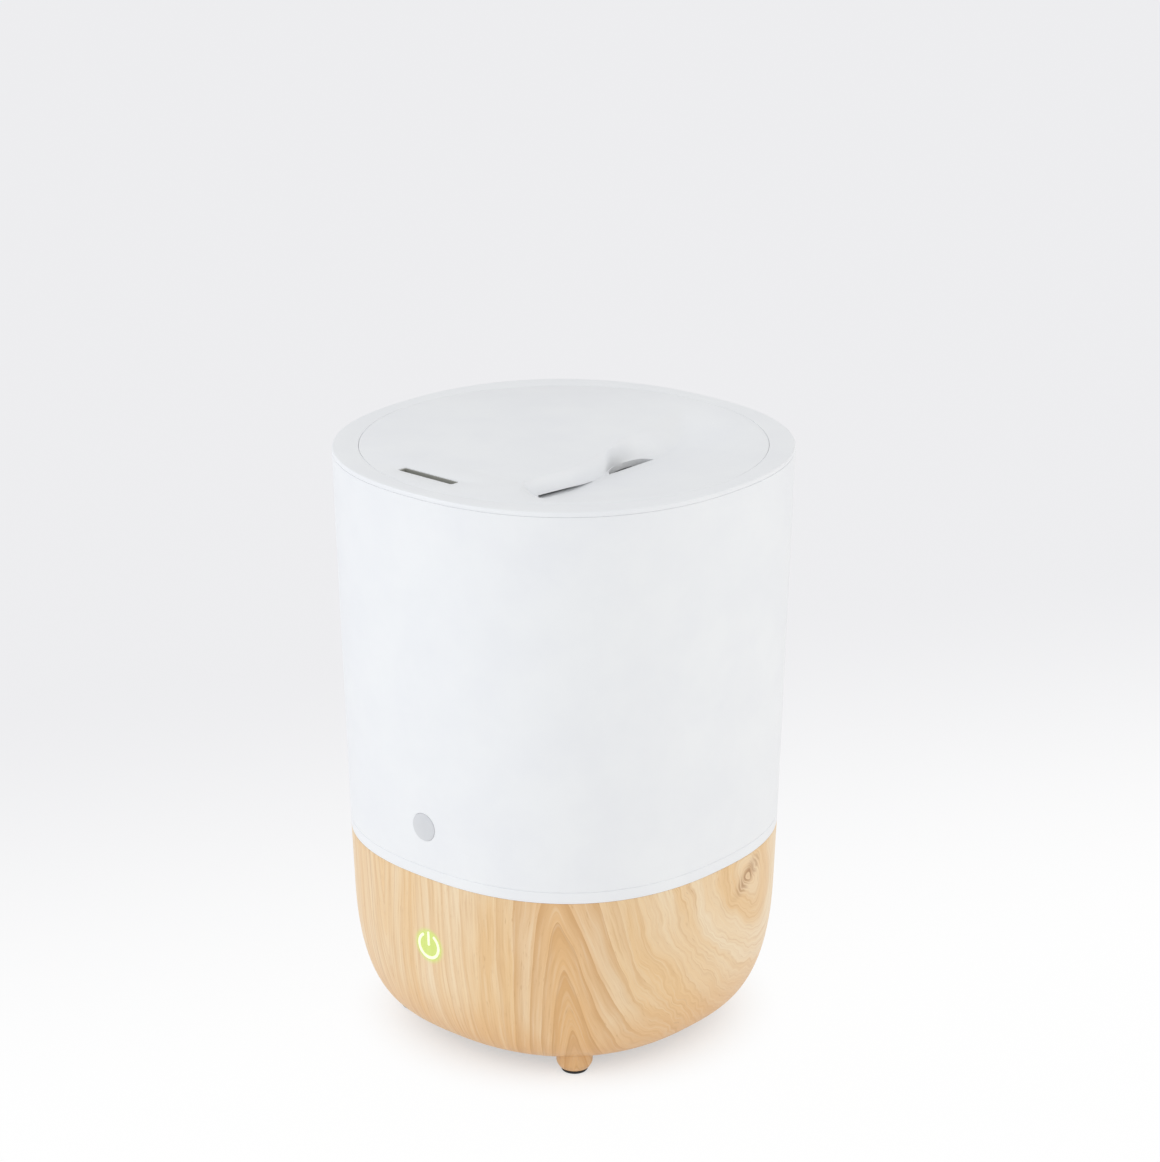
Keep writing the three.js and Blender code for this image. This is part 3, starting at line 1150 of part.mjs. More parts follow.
function addTank(tank) {
  const badgeGroup = frontGroup(tank, BADGE_HEIGHT);
  addPiece(tank, "tank_wall", makeTankWall(badgeGroup), "whitePlastic");
  const badge = cylinder(BADGE_RADIUS, BADGE_PROUD - BADGE_THICKNESS, BADGE_PROUD, 0, 0, 32);
  addPiece(badgeGroup, "badge_disc", badge, "greyPlastic");
  addPiece(tank, "tank_floor", makeTankFloor(), "whitePlastic");
  const tubeTop = HEIGHT - TUBE_TOP_DROP;
  const tube = tubeVolume(TUBE_WALL, TANK_FLOOR_TOP + GAP, tubeTop).subtract(
    tubeVolume(0, TANK_FLOOR_TOP + GAP - THROUGH, tubeTop + THROUGH),
  );
  addPiece(tank, "mist_tube", tube, "whitePlastic");
  addPiece(tank, "top_collar", makeCollar(), "whitePlastic");
  addValve(tank);
}

// ---- Lid ---------------------------------------------------------------------------------------

// A smooth curve through plan points of the hollow, drawn out to the lid's size.
function splineOf(points) {
  const scale = HOLLOW_RIM_RADIUS / HOLLOW_PLAN_RADIUS;
  return new THREE.SplineCurve(points.map(([x, y]) => new THREE.Vector2(x * scale, y * scale)));
}

// The depth of the pour hollow's floor at a share of its run from front to back.
function hollowDepth(share) {
  const front = smooth(share / HOLLOW_FRONT_FALL);
  const back = smooth((1 - share) / HOLLOW_BACK_RISE);
  return HOLLOW_DEPTH * front * back;
}

// The pour hollow from its floor up to a level. A wall above 0 gives the tray below the floor.
function hollowVolume(wall, top) {
  const valley = splineOf(VALLEY);
  const foot = splineOf(FOOT);
  const crest = splineOf(CREST);
  const shift = new THREE.Vector2(-wall, 0);
  const layout = HOLLOW_ROWS.map((share) => {
    const depth = hollowDepth(share);
    const lip = 1 - smooth((share - LIP_END) / LIP_BLEND);
    const low = valley.getPoint(share).add(shift);
    const start = foot.getPoint(share).add(shift);
    const high = crest.getPoint(share).add(shift);
    const roll = wall > 0 ? 0 : LIP_ROLL * lip * smooth(share / HOLLOW_FRONT_FALL);
    high.add(high.clone().sub(start).setLength(roll));
    const turn = THREE.MathUtils.lerp(HOLLOW_RIM_START, HOLLOW_RIM_END, share);
    const rim = new THREE.Vector2(Math.cos(turn), Math.sin(turn)).multiplyScalar(HOLLOW_RIM_RADIUS);
    const line = [];
    for (let column = 0; column <= WALL_COLUMNS; column++) {
      const s = column / WALL_COLUMNS;
      const angle = (s * Math.PI) / 2;
      const run = THREE.MathUtils.lerp(s, Math.sin(angle), lip);
      const fall = THREE.MathUtils.lerp(Math.sin(angle) ** 2, 1 - Math.cos(angle), lip);
      line.push({ at: high.clone().lerp(start, run), z: HEIGHT - depth * fall - wall });
    }
    for (let column = 0; column <= RAMP_COLUMNS; column++) {
      const s = column / RAMP_COLUMNS;
      line.push({ at: low.clone().lerp(rim, s), z: HEIGHT - depth * (1 - s) ** RAMP_POWER - wall });
    }
    return line;
  });
  return solid(reliefGeometry(layout, top));
}

// A closed block whose underside follows a grid of points and whose top is flat.
function reliefGeometry(layout, top) {
  const rows = layout.length;
  const columns = layout[0].length;
  const positions = [];
  const index = [];
  for (const line of layout) {
    for (const { at, z } of line) positions.push(at.x, at.y, z);
  }
  for (const line of layout) {
    for (const { at } of line) positions.push(at.x, at.y, top);
  }
  const low = (row, column) => row * columns + column;
  const high = (row, column) => rows * columns + low(row, column);
  const quad = (a, b, c, d) => index.push(a, b, c, a, c, d);
  for (let row = 0; row + 1 < rows; row++) {
    for (let column = 0; column + 1 < columns; column++) {
      quad(low(row, column), low(row + 1, column), low(row + 1, column + 1), low(row, column + 1));
      const next = column + 1;
      quad(high(row, column), high(row, next), high(row + 1, next), high(row + 1, column));
    }
    const last = columns - 1;
    quad(low(row, 0), high(row, 0), high(row + 1, 0), low(row + 1, 0));
    quad(low(row, last), low(row + 1, last), high(row + 1, last), high(row, last));
  }
  for (let column = 0; column + 1 < columns; column++) {
    const last = rows - 1;
    quad(low(0, column), low(0, column + 1), high(0, column + 1), high(0, column));
    quad(low(last, column), high(last, column), high(last, column + 1), low(last, column + 1));
  }
  const geometry = new THREE.BufferGeometry();
  geometry.setAttribute("position", new THREE.Float32BufferAttribute(positions, 3));
  geometry.setIndex(index);
  return geometry;
}

// The mist slot's outline grown by a distance, as a solid between two heights.
function slotPrism(grow, bottom, top) {
  const { x, y, length, width, corner } = MIST_SLOT;
  const points = slotOutline(x, y, length + 2 * grow, width + 2 * grow, corner + grow);
  return stacked([
    { z: bottom, points },
    { z: top, points },
  ]);
}

function makeLid() {
  const skirtBottom = COLLAR_BOTTOM + COLLAR_LEDGE_THICKNESS + GAP;
  const plateBottom = HEIGHT - LID_THICKNESS;
  const disc = cylinder(LID_RADIUS, skirtBottom, HEIGHT, 0, 0, LID_SEGMENTS);
  const underside = cylinder(
    LID_RADIUS - LID_SKIRT_WALL, skirtBottom - THROUGH, plateBottom, 0, 0, LID_SEGMENTS,
  );
  const tray = hollowVolume(LID_THICKNESS, HEIGHT - LID_THICKNESS / 2);
  const curve = splineOf(FILL_SLOT_EDGE);
  const fillSlot = extruded(curve.getPoints(10), COLLAR_BOTTOM - 2 * LID_THICKNESS, HEIGHT);
  const opening = hollowVolume(0, HEIGHT + THROUGH);
  const mistSlot = slotPrism(0, plateBottom - THROUGH, HEIGHT + THROUGH);
  return cut(joined(cut(disc, underside), tray), opening, fillSlot, mistSlot);
}

function makeNozzle() {
  const top = HEIGHT - LID_THICKNESS - GAP;
  const bottom = HEIGHT - NOZZLE_DEPTH;
  const linerBottom = HEIGHT - LINER_DEPTH;
  const sleeve = slotPrism(NOZZLE_WALL, bottom, top);
  const flange = slotPrism(NOZZLE_WALL + NOZZLE_FLANGE, top - NOZZLE_FLANGE_THICKNESS, top);
  const liner = slotPrism(-LINER_GAP, linerBottom, HEIGHT - LINER_DROP);
  return cut(
    joined(sleeve, flange, liner),
    slotPrism(0, bottom - THROUGH, linerBottom),
    slotPrism(-LINER_GAP - LINER_WALL, bottom - THROUGH, HEIGHT + THROUGH),
  );
}

// ---- Assembly --------------------------------------------------------------------------------

const humidifier = new THREE.Group();
const base = subgroup(humidifier, 0, 0, 0);
const front = frontGroup(base, SYMBOL_HEIGHT);
addBottom(base, front);
addPiece(base, "base_deck", makeDeck(), "whitePlastic");
addTransducer(base);
addLevelFloat(base);
addFloatLever(base);
addBlower(base);
addPiece(base, "air_duct", ductSweep(DUCT_WALL, 0).subtract(ductSweep(0, THROUGH)), "whitePlastic");
addDriverBoard(base);
addJack(base);
addLeads(base, front);

const tank = subgroup(humidifier, 0, 0, 0);
addTank(tank);

const lid = subgroup(tank, 0, 0, 0);
addPiece(lid, "lid", makeLid(), "whitePlastic");
addPiece(lid, "mist_nozzle", makeNozzle(), "smokePlastic");

export default humidifier;
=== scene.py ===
# Looks of a table-top ultrasonic cool mist humidifier, laid out as an add-on and run as a script.
# Lengths are metres, +Z is up, the front faces -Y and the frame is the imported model's own.
import json
import math
from functools import partial

import bpy
from mathutils import Matrix, Vector


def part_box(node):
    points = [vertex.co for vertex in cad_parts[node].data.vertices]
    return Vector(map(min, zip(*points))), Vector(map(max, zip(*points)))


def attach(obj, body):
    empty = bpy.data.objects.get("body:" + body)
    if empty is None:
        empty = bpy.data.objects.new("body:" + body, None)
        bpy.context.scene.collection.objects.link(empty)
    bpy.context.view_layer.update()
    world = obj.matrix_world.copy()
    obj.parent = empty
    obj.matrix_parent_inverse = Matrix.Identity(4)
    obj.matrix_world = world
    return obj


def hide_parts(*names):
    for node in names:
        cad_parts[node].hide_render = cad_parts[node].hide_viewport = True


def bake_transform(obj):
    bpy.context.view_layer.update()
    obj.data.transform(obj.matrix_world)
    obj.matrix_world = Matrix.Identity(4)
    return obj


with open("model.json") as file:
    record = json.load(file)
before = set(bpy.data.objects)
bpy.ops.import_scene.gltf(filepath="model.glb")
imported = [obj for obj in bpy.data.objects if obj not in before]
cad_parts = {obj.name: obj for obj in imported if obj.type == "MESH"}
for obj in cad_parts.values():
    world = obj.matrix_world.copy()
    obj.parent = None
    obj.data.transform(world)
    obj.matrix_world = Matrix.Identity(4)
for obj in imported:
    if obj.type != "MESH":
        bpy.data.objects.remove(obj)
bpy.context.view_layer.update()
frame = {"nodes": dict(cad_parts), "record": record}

bl_info = {
    "name": "Cool mist humidifier",
    "version": (1, 0, 0),
    "blender": (4, 5, 0),
    "location": "View3D > Sidebar > Humidifier",
    "description": "Models and finishes the pieces of a table-top cool mist humidifier",
    "category": "Object",
}

MM = 0.001


def round_circle(radius, count, start=0, middle=(0, 0)):
    """Places spaced evenly round a circle, the first at an angle in degrees."""
    angles = [math.radians(start + 360 * k / count) for k in range(count)]
    return [(middle[0] + radius * math.cos(a), middle[1] + radius * math.sin(a)) for a in angles]


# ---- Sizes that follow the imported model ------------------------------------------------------

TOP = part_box("top_collar")[1].z
TOP_HALF_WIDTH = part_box("top_collar")[1].x
RIM_BOTTOM = TOP - 1.8 * MM
WIDEST_LEVEL = TOP - 3.8 * MM
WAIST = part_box("base_shell")[1].z
WAIST_HALF_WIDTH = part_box("base_shell")[1].x
FOOT_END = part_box("base_shell")[0].z
TANK_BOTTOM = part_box("tank_wall")[0].z
TANK_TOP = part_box("tank_wall")[1].z
TANK_FLOOR_TOP = TANK_BOTTOM + 4.7 * MM
TANK_FLOOR_BOTTOM = TANK_BOTTOM + 2.2 * MM
RING_BOTTOM = WAIST + 0.3 * MM
RING_TOP = RING_BOTTOM + 4.7 * MM
BASIN_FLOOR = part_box("float_clip")[0].z - 17.8 * MM
BASIN_UNDERSIDE = BASIN_FLOOR - 2.3 * MM
LID_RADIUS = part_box("lid")[1].x
LID_BOTTOM = TOP - 7.7 * MM
TOP_SQUARENESS = 2.255  # superellipse exponents, 2 is a circle
WAIST_SQUARENESS = 2.388
BASE_TAPER = 0.036
BOWL_BOTTOM = 8.1 * MM
BOWL_CURVE_IN = 21.9 * MM
BOWL_CURVE_UP = 54.6 * MM
BOWL_CURVE_POWER = 2.35
BOWL_WALL = 2.6 * MM
HATCH_RADIUS = 51 * MM
FOOT_OFFSET = 47.6 * MM
BASIN_HALF_WIDTH = 72 * MM
SYMBOL_LEVEL = WAIST - 31.9 * MM
BADGE_LEVEL = WAIST + 23.7 * MM
JACK_LEVEL = WAIST - 37.8 * MM

# The lid's pour hollow in plan, in millimetres, from front to back: its lowest line, the foot of
# its wall and the wall's crest, which leans away behind the lip.
VALLEY = [(26.4, -56), (27.2, -44.5), (29.2, -29), (28.3, -15.5), (26.6, -3), (27.5, 9.5),
          (28.0, 24.5), (27.0, 38), (23.0, 51), (15.0, 65), (5.0, 80)]
FOOT = [(26.4, -56), (27.2, -44.5), (29.2, -29), (28.3, -15.5), (25.6, -3), (21.1, 8),
        (21.8, 24), (26.4, 38), (23.0, 51), (15.0, 65), (5.0, 80)]
CREST = [(26.0, -56), (26.8, -44.5), (28.7, -29), (27.8, -15.5), (25.0, -3.3), (20.4, 7.8),
         (12.6, 25), (10.0, 39.6), (5.6, 52), (-1.5, 67), (-9.5, 81)]
LIP_END = 0.49  # shares of the hollow's run from front to back
FRONT_FALL = 0.09
SCOOP_POWER = 1.6  # above 1 the scoop is steepest near its foot
BACK_RISE = 0.36
SLIT_RUN = (0.085, 0.17, 0.31)  # where the drain slit starts, begins to thin out and ends
FILL_SLOT_EDGE = [(26.9, -1.5), (23.4, 2.2), (21.1, 8.4), (20.7, 16.4), (22.2, 24), (27.2, 27.5)]
HOLLOW_RIM_RADIUS = 84.5 * MM
HOLLOW_RIM_START = math.radians(-63)
HOLLOW_RIM_END = math.radians(86)
MIST_SLOT = {"x": -9.9 * MM, "y": -73.4 * MM, "length": 30.8 * MM, "width": 5 * MM,
             "corner": 1.2 * MM}

FEET = [(x * FOOT_OFFSET, y * FOOT_OFFSET) for x, y in ((1, -1), (1, 1), (-1, 1), (-1, -1))]
PLATE_SCREWS = round_circle(54.4 * MM, 4)
SCREW_HOLE = 1.8 * MM  # radius
TRANSDUCER = (-10 * MM, -54 * MM)
HOLDER_SCREWS = round_circle(15.4 * MM, 3, 90, TRANSDUCER)
MIST_MOUTH = (22 * MM, 14 * MM)  # half length and half width of the mist tube's oval foot
VALVE = (-20 * MM, 34 * MM)
PIVOT = (-2 * MM, 34 * MM, BASIN_FLOOR + 13.5 * MM)
CHIMNEY = (-46 * MM, 12 * MM)
LEVEL_FLOAT = (46 * MM, -10 * MM)
BLOWER = (21 * MM, -6 * MM)
PLATE_TOP = BOWL_BOTTOM - 0.3 * MM

# The wood-look film: places round the bowl from its front corner, and the knot's height.
FILM_RADIUS = 96 * MM
FILM_JOIN = 106 * MM
FILM_EDGE = 117 * MM
KNOT = (98 * MM, 80 * MM)

CAMERA_PLACE = (0.9460, -1.0717, 0.6945)
CAMERA_HEADING = math.radians(41.16)
CAMERA_PITCH = math.radians(19.08)
CAMERA_LENS = 108.4
LAMP_AIM = (0, 0, 0.13)
SKY_TOWARDS = (-0.06, -0.70, -0.71)
FLOOR_DIMS_TOWARDS = (-0.92, 0.52, 0)
CLOSE = 1e-6  # points this near to each other are one


def linear(code):
    """An sRGB hex colour as linear red, green and blue."""
    parts = [int(code[i:i + 2], 16) / 255 for i in (1, 3, 5)]
    return tuple(c / 12.92 if c <= 0.04045 else ((c + 0.055) / 1.055) ** 2.4 for c in parts)


# ---- Outlines ---------------------------------------------------------------------------------


def half_width(z):
    """Half the body's width at a height."""
    if z < WAIST:
        return WAIST_HALF_WIDTH - BASE_TAPER * (WAIST - z)
    share = min((z - WAIST) / (WIDEST_LEVEL - WAIST), 1)
    return WAIST_HALF_WIDTH + (TOP_HALF_WIDTH - WAIST_HALF_WIDTH) * share


def squareness(z):
    share = min(max((z - WAIST) / (TOP - WAIST), 0), 1)
    return WAIST_SQUARENESS + (TOP_SQUARENESS - WAIST_SQUARENESS) * share


def bowl_profile(inset, steps):
    """Points (half width, height) of the bowl from its floor up to where its side is straight."""
    points = []
    for step in range(steps + 1):
        share = math.cos(step / steps * math.pi / 2)
        z = BOWL_BOTTOM + BOWL_CURVE_UP - share * (BOWL_CURVE_UP - inset)
        draw_in = 1 - (1 - share ** BOWL_CURVE_POWER) ** (1 / BOWL_CURVE_POWER)
        points.append((half_width(z) - inset - BOWL_CURVE_IN * draw_in, z))
    return points


def levels(bottom, top, inset, steps):
    """Points (half width, height) of the body's side between two heights."""
    heights = [bottom + (top - bottom) * i / steps for i in range(steps + 1)]
    return [(half_width(z) - inset, z) for z in heights]


def smooth(share):
    share = min(max(share, 0), 1)
    return share * share * (3 - 2 * share)


def spline_at(points, share):
    """A point of the smooth curve through plan points in millimetres, in metres."""
    place = (len(points) - 1) * share
    first = min(int(place), len(points) - 2)
    t = place - first
    picks = [points[min(max(first + k, 0), len(points) - 1)] for k in (-1, 0, 1, 2)]
    out = []
    for p0, p1, p2, p3 in zip(*picks):
        v0, v1 = (p2 - p0) / 2, (p3 - p1) / 2
        cubic = (2 * p1 - 2 * p2 + v0 + v1) * t ** 3 + (3 * (p2 - p1) - 2 * v0 - v1) * t ** 2
        out.append((cubic + v0 * t + p1) * MM)
    return Vector(out)


# ---- Modelling steps ---------------------------------------------------------------------------


def start_from(primitive, name, **settings):
    """Adds a primitive with nothing else selected."""
    bpy.ops.object.select_all(action="DESELECT")
    getattr(bpy.ops.mesh, f"primitive_{primitive}_add")(**settings)
    bpy.context.object.name = name
    return bpy.context.object


def only(obj):
    """Selects one object alone and makes it the active one."""
    bpy.ops.object.select_all(action="DESELECT")
    obj.select_set(True)
    bpy.context.view_layer.objects.active = obj
    return obj


def edit(kind="VERT"):
    bpy.ops.object.mode_set(mode="EDIT")
    bpy.ops.mesh.select_mode(type=kind)


def leave_edit():
    bpy.ops.object.mode_set(mode="OBJECT")


def weld():
    """Merges points that coincide, turns the faces outwards and leaves edit mode."""
    bpy.ops.mesh.select_all(action="SELECT")
    bpy.ops.mesh.remove_doubles(threshold=CLOSE)
    bpy.ops.mesh.normals_make_consistent(inside=False)
    leave_edit()


def raise_solid(height):
    """Extrudes all faces upwards into a closed solid and leaves edit mode."""
    bpy.ops.mesh.select_all(action="SELECT")
    bpy.ops.mesh.extrude_region_move(TRANSFORM_OT_translate={"value": (0, 0, height)})
    bpy.ops.mesh.select_all(action="SELECT")
    bpy.ops.mesh.normals_make_consistent(inside=False)
    leave_edit()


def bevel_selected(offset, segments, **extra):
    edit("EDGE")
    bpy.ops.mesh.bevel(offset=offset, segments=segments, affect="EDGES", **extra)
    leave_edit()


def select_points(obj, test):
    """Selects the vertices, and the edges and faces between them, whose place passes a test."""
    mesh = obj.data
    for vertex in mesh.vertices:
        vertex.select = bool(test(vertex.co))
    for edge in mesh.edges:
        edge.select = all(mesh.vertices[i].select for i in edge.vertices)
    for face in mesh.polygons:
        face.select = all(mesh.vertices[i].select for i in face.vertices)


def select_edges(obj, test):
    """Selects the edges whose two end points pass a test."""
    mesh = obj.data
    for vertex in mesh.vertices:
        vertex.select = False
    for face in mesh.polygons:
        face.select = False
    for edge in mesh.edges:
        a, b = (mesh.vertices[i].co for i in edge.vertices)
        edge.select = bool(test(a, b))


def rounded(corners, steps=4):
    """A profile whose corners (radius, height, rounding) are eased by arcs."""
    out = []
    for i, (r, z, size) in enumerate(corners):
        here = Vector((r, z))
        if not size:
            out.append((r, z))
            continue
        before = Vector(corners[i - 1][:2]) - here
        after = Vector(corners[(i + 1) % len(corners)][:2]) - here
        cut = min(size, before.length * 0.49, after.length * 0.49)
        start, end = here + before.normalized() * cut, here + after.normalized() * cut
        for k in range(steps + 1):
            t = k / steps
            point = start * (1 - t) ** 2 + here * 2 * t * (1 - t) + end * t ** 2
            out.append(tuple(point))
    return out


def follow(profile):
    """Extrudes the selected circle through a profile's points, scaled about the axis."""
    radius, z = profile[0]
    for next_radius, next_z in profile[1:]:
        bpy.ops.mesh.extrude_edges_move(TRANSFORM_OT_translate={"value": (0, 0, next_z - z)})
        factor = next_radius / radius
        bpy.ops.transform.resize(value=(factor, factor, 1), center_override=(0, 0, next_z))
        radius, z = next_radius, next_z


def turned(name, profile, segments=64, capped=False, place=(0, 0)):
    """A turned body: a circle at the profile's first point is extruded and scaled on to the rest.
    A closed profile comes back to its first point. A capped one is filled at both ends."""
    obj = start_from("circle", name, vertices=segments, radius=profile[0][0],
                     location=(0, 0, profile[0][1]), fill_type="NGON" if capped else "NOTHING")
    edit("EDGE")
    bpy.ops.mesh.select_all(action="SELECT")
    if capped:
        bpy.ops.mesh.region_to_loop()
    follow(list(profile) + ([] if capped else [profile[0]]))
    if capped:
        bpy.ops.mesh.edge_face_add()
    weld()
    settle(obj)
    if any(place):
        move(obj, (place[0], place[1], 0))
    return obj


def open_turned(name, profile, segments):
    """A turned wall that is open at both ends of its profile."""
    obj = start_from("circle", name, vertices=segments, radius=profile[0][0],
                     location=(0, 0, profile[0][1]))
    edit("EDGE")
    bpy.ops.mesh.select_all(action="SELECT")
    follow(profile)
    leave_edit()
    return settle(obj)


def settle(obj):
    """Applies an object's place, turn and size to its mesh."""
    only(obj)
    bpy.ops.object.transform_apply(location=True, rotation=True, scale=True)
    return obj


def move(obj, offset):
    obj.location = obj.location + Vector(offset)
    return settle(obj)


def turn(obj, degrees, axis):
    obj.rotation_euler["XYZ".index(axis)] = math.radians(degrees)
    return settle(obj)


def lay(obj, place, degrees=90):
    """Tips an upright part about X and carries it to its place."""
    return move(turn(obj, degrees, "X"), place)


def place_on(obj, matrix):
    """Moves a mesh from a wall's own frame to the object's frame."""
    obj.matrix_world = matrix
    return settle(obj)


def block(name, low, high, ease=0.0, steps=3):
    """A box between two corners with eased edges."""
    middle = [(a + b) / 2 for a, b in zip(low, high)]
    obj = start_from("cube", name, size=1, location=middle)
    obj.scale = [b - a for a, b in zip(low, high)]
    settle(obj)
    if ease:
        edit("EDGE")
        bpy.ops.mesh.select_all(action="SELECT")
        bpy.ops.mesh.bevel(offset=ease, segments=steps, affect="EDGES")
        leave_edit()
    return obj


def drum(name, radius, bottom, top, place=(0, 0), ease=0.3 * MM, segments=48):
    """A solid cylinder with eased rims."""
    inner = min(radius * 0.5, radius - 2 * ease)
    corners = [(inner, bottom, 0), (radius, bottom, ease), (radius, top, ease), (inner, top, 0)]
    return turned(name, rounded(corners, 3), segments, capped=True, place=place)


def tube(name, outer, inner, bottom, top, place=(0, 0), ease=0.3 * MM, segments=64):
    """A pipe with eased rims."""
    corners = [(inner, bottom, ease), (outer, bottom, ease), (outer, top, ease), (inner, top, ease)]
    return turned(name, rounded(corners, 3), segments, place=place)


def merge(objs):
    """Joins meshes that don't touch into one."""
    bpy.ops.object.select_all(action="DESELECT")
    for obj in objs:
        obj.select_set(True)
    bpy.context.view_layer.objects.active = objs[0]
    if len(objs) > 1:
        bpy.ops.object.join()
    return objs[0]


def combine(obj, tools, operation):
    """Adds tools that don't touch each other to a body, or cuts them from it."""
    tool = merge(tools)
    only(obj)
    modifier = obj.modifiers.new("combine", "BOOLEAN")
    modifier.operation = operation
    modifier.solver = "EXACT"
    modifier.object = tool
    bpy.ops.object.modifier_apply(modifier=modifier.name)
    bpy.data.objects.remove(tool)
    return obj


def fuse(obj, tools):
    return combine(obj, tools, "UNION")


def carve(obj, tools):
    return combine(obj, tools, "DIFFERENCE")


def square_off(obj, round_within=0.0):
    """Draws a turned body's round sections out to the body's rounded square."""
    for vertex in obj.data.vertices:
        x, y, z = vertex.co
        radius = math.hypot(x, y)
        if radius <= round_within:
            continue
        power = squareness(z)
        reach = ((abs(x) / radius) ** power + (abs(y) / radius) ** power) ** (-1 / power)
        vertex.co = (x * reach, y * reach, z)
    return obj


def wall_frame(level):
    """The frame of the front wall at a height: its +Z points out of the wall."""
    slope = (half_width(level + MM) - half_width(level - MM)) / (2 * MM)
    place = Matrix.Translation((0, -half_width(level), level))
    return place @ Matrix.Rotation(math.pi / 2 + math.atan(slope), 4, "X")


def finish_piece(obj, name, body, node, slot, angle=32):
    """Names a piece, smooths it, gives it its finish, hangs it on its body and hides the imported
    part it stands for.
    """
    obj.name = name
    obj.data.name = name
    only(obj)
    bpy.ops.object.shade_smooth_by_angle(angle=math.radians(angle))
    obj.data.materials.clear()
    obj.data.materials.append(finish_of(slot))
    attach(obj, body)
    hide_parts(node)
    return obj


# ---- Materials ---------------------------------------------------------------------------------

EASED = {"interpolation_type": "SMOOTHSTEP"}


def rgba(code):
    return (*linear(code), 1)


def set_sockets(node, sockets):
    """Sets or links a node's sockets, which are given in order or by name."""
    pairs = sockets.items() if isinstance(sockets, dict) else enumerate(sockets)
    for key, value in pairs:
        if isinstance(value, bpy.types.NodeSocket):
            node.id_data.links.new(value, node.inputs[key])
        else:
            node.inputs[key].default_value = value


def add_node(tree, kind, sockets=(), out=0, **settings):
    """Adds a node, its kind followed by its operation where it has one, sets its options and
    sockets, and returns one of its outputs."""
    kind, _, operation = kind.partition(" ")
    node = tree.nodes.new("ShaderNode" + kind)
    if operation:
        node.operation = operation
    for key, value in settings.items():
        setattr(node, key, value)
    set_sockets(node, sockets)
    return node.outputs[out]


def new_material(name):
    """A new material, what adds its nodes, its shader and its Object coordinates."""
    material = bpy.data.materials.new(name)
    material.use_nodes = True
    add = partial(add_node, material.node_tree)
    shader = material.node_tree.nodes["Principled BSDF"]
    return material, add, shader, add("TexCoord", out="Object")


def noise(add, place, scale, detail=2.0, shift=0.0):
    """Noise on scaled coordinates, each shift giving another part of the pattern."""
    mapped = add("Mapping", {
        "Vector": place, "Location": (shift, shift * 0.7, shift * 1.3), "Scale": scale,
    })
    return add("TexNoise", {"Vector": mapped, "Scale": 1.0, "Detail": detail, "Roughness": 0.55})


def tint(add, value, low, high, start=0.35, end=0.65):
    """Turns from one sRGB colour to another while a value rises between two levels."""
    share = add("MapRange", (value, start, end))
    return add("Mix", {0: share, 6: rgba(low), 7: rgba(high)}, 2, data_type="RGBA")


def moulded(name, low, high, roughness, grain=0.45 * MM, depth=0.02 * MM, ior=1.5, **extra):
    """A moulded finish: a faint cloudiness of colour, a fine spark-eroded grain and a sheen
    that varies a little where hands and cloths have polished it."""
    material, add, shader, place = new_material(name)
    cloud = noise(add, place, [1 / (28 * MM)] * 3, 3)
    grains = noise(add, place, [1 / grain] * 3)
    set_sockets(shader, {
        "Base Color": tint(add, cloud, low, high), "IOR": ior,
        "Roughness": add("MapRange", (cloud, 0, 1, roughness - 0.04, roughness + 0.04)),
        "Normal": add("Bump", {"Height": grains, "Distance": depth, "Strength": 0.35}),
        **{key.replace("_", " "): value for key, value in extra.items()},
    })
    return material


def metal(name, low, high, roughness, stretch=(1, 1, 1), grain=0.3 * MM):
    """A bare metal: fine drawn or rolled lines and a patchy dull film."""
    material, add, shader, place = new_material(name)
    lines = noise(add, place, [share / grain for share in stretch], 3)
    cloud = noise(add, place, [1 / (6 * MM)] * 3, 3)
    set_sockets(shader, {
        "Base Color": tint(add, cloud, low, high), "Metallic": 1,
        "Roughness": add("MapRange", (lines, 0, 1, roughness - 0.08, roughness + 0.08)),
        "Normal": add("Bump", {"Height": lines, "Distance": 0.01 * MM, "Strength": 0.5}),
    })
    return material


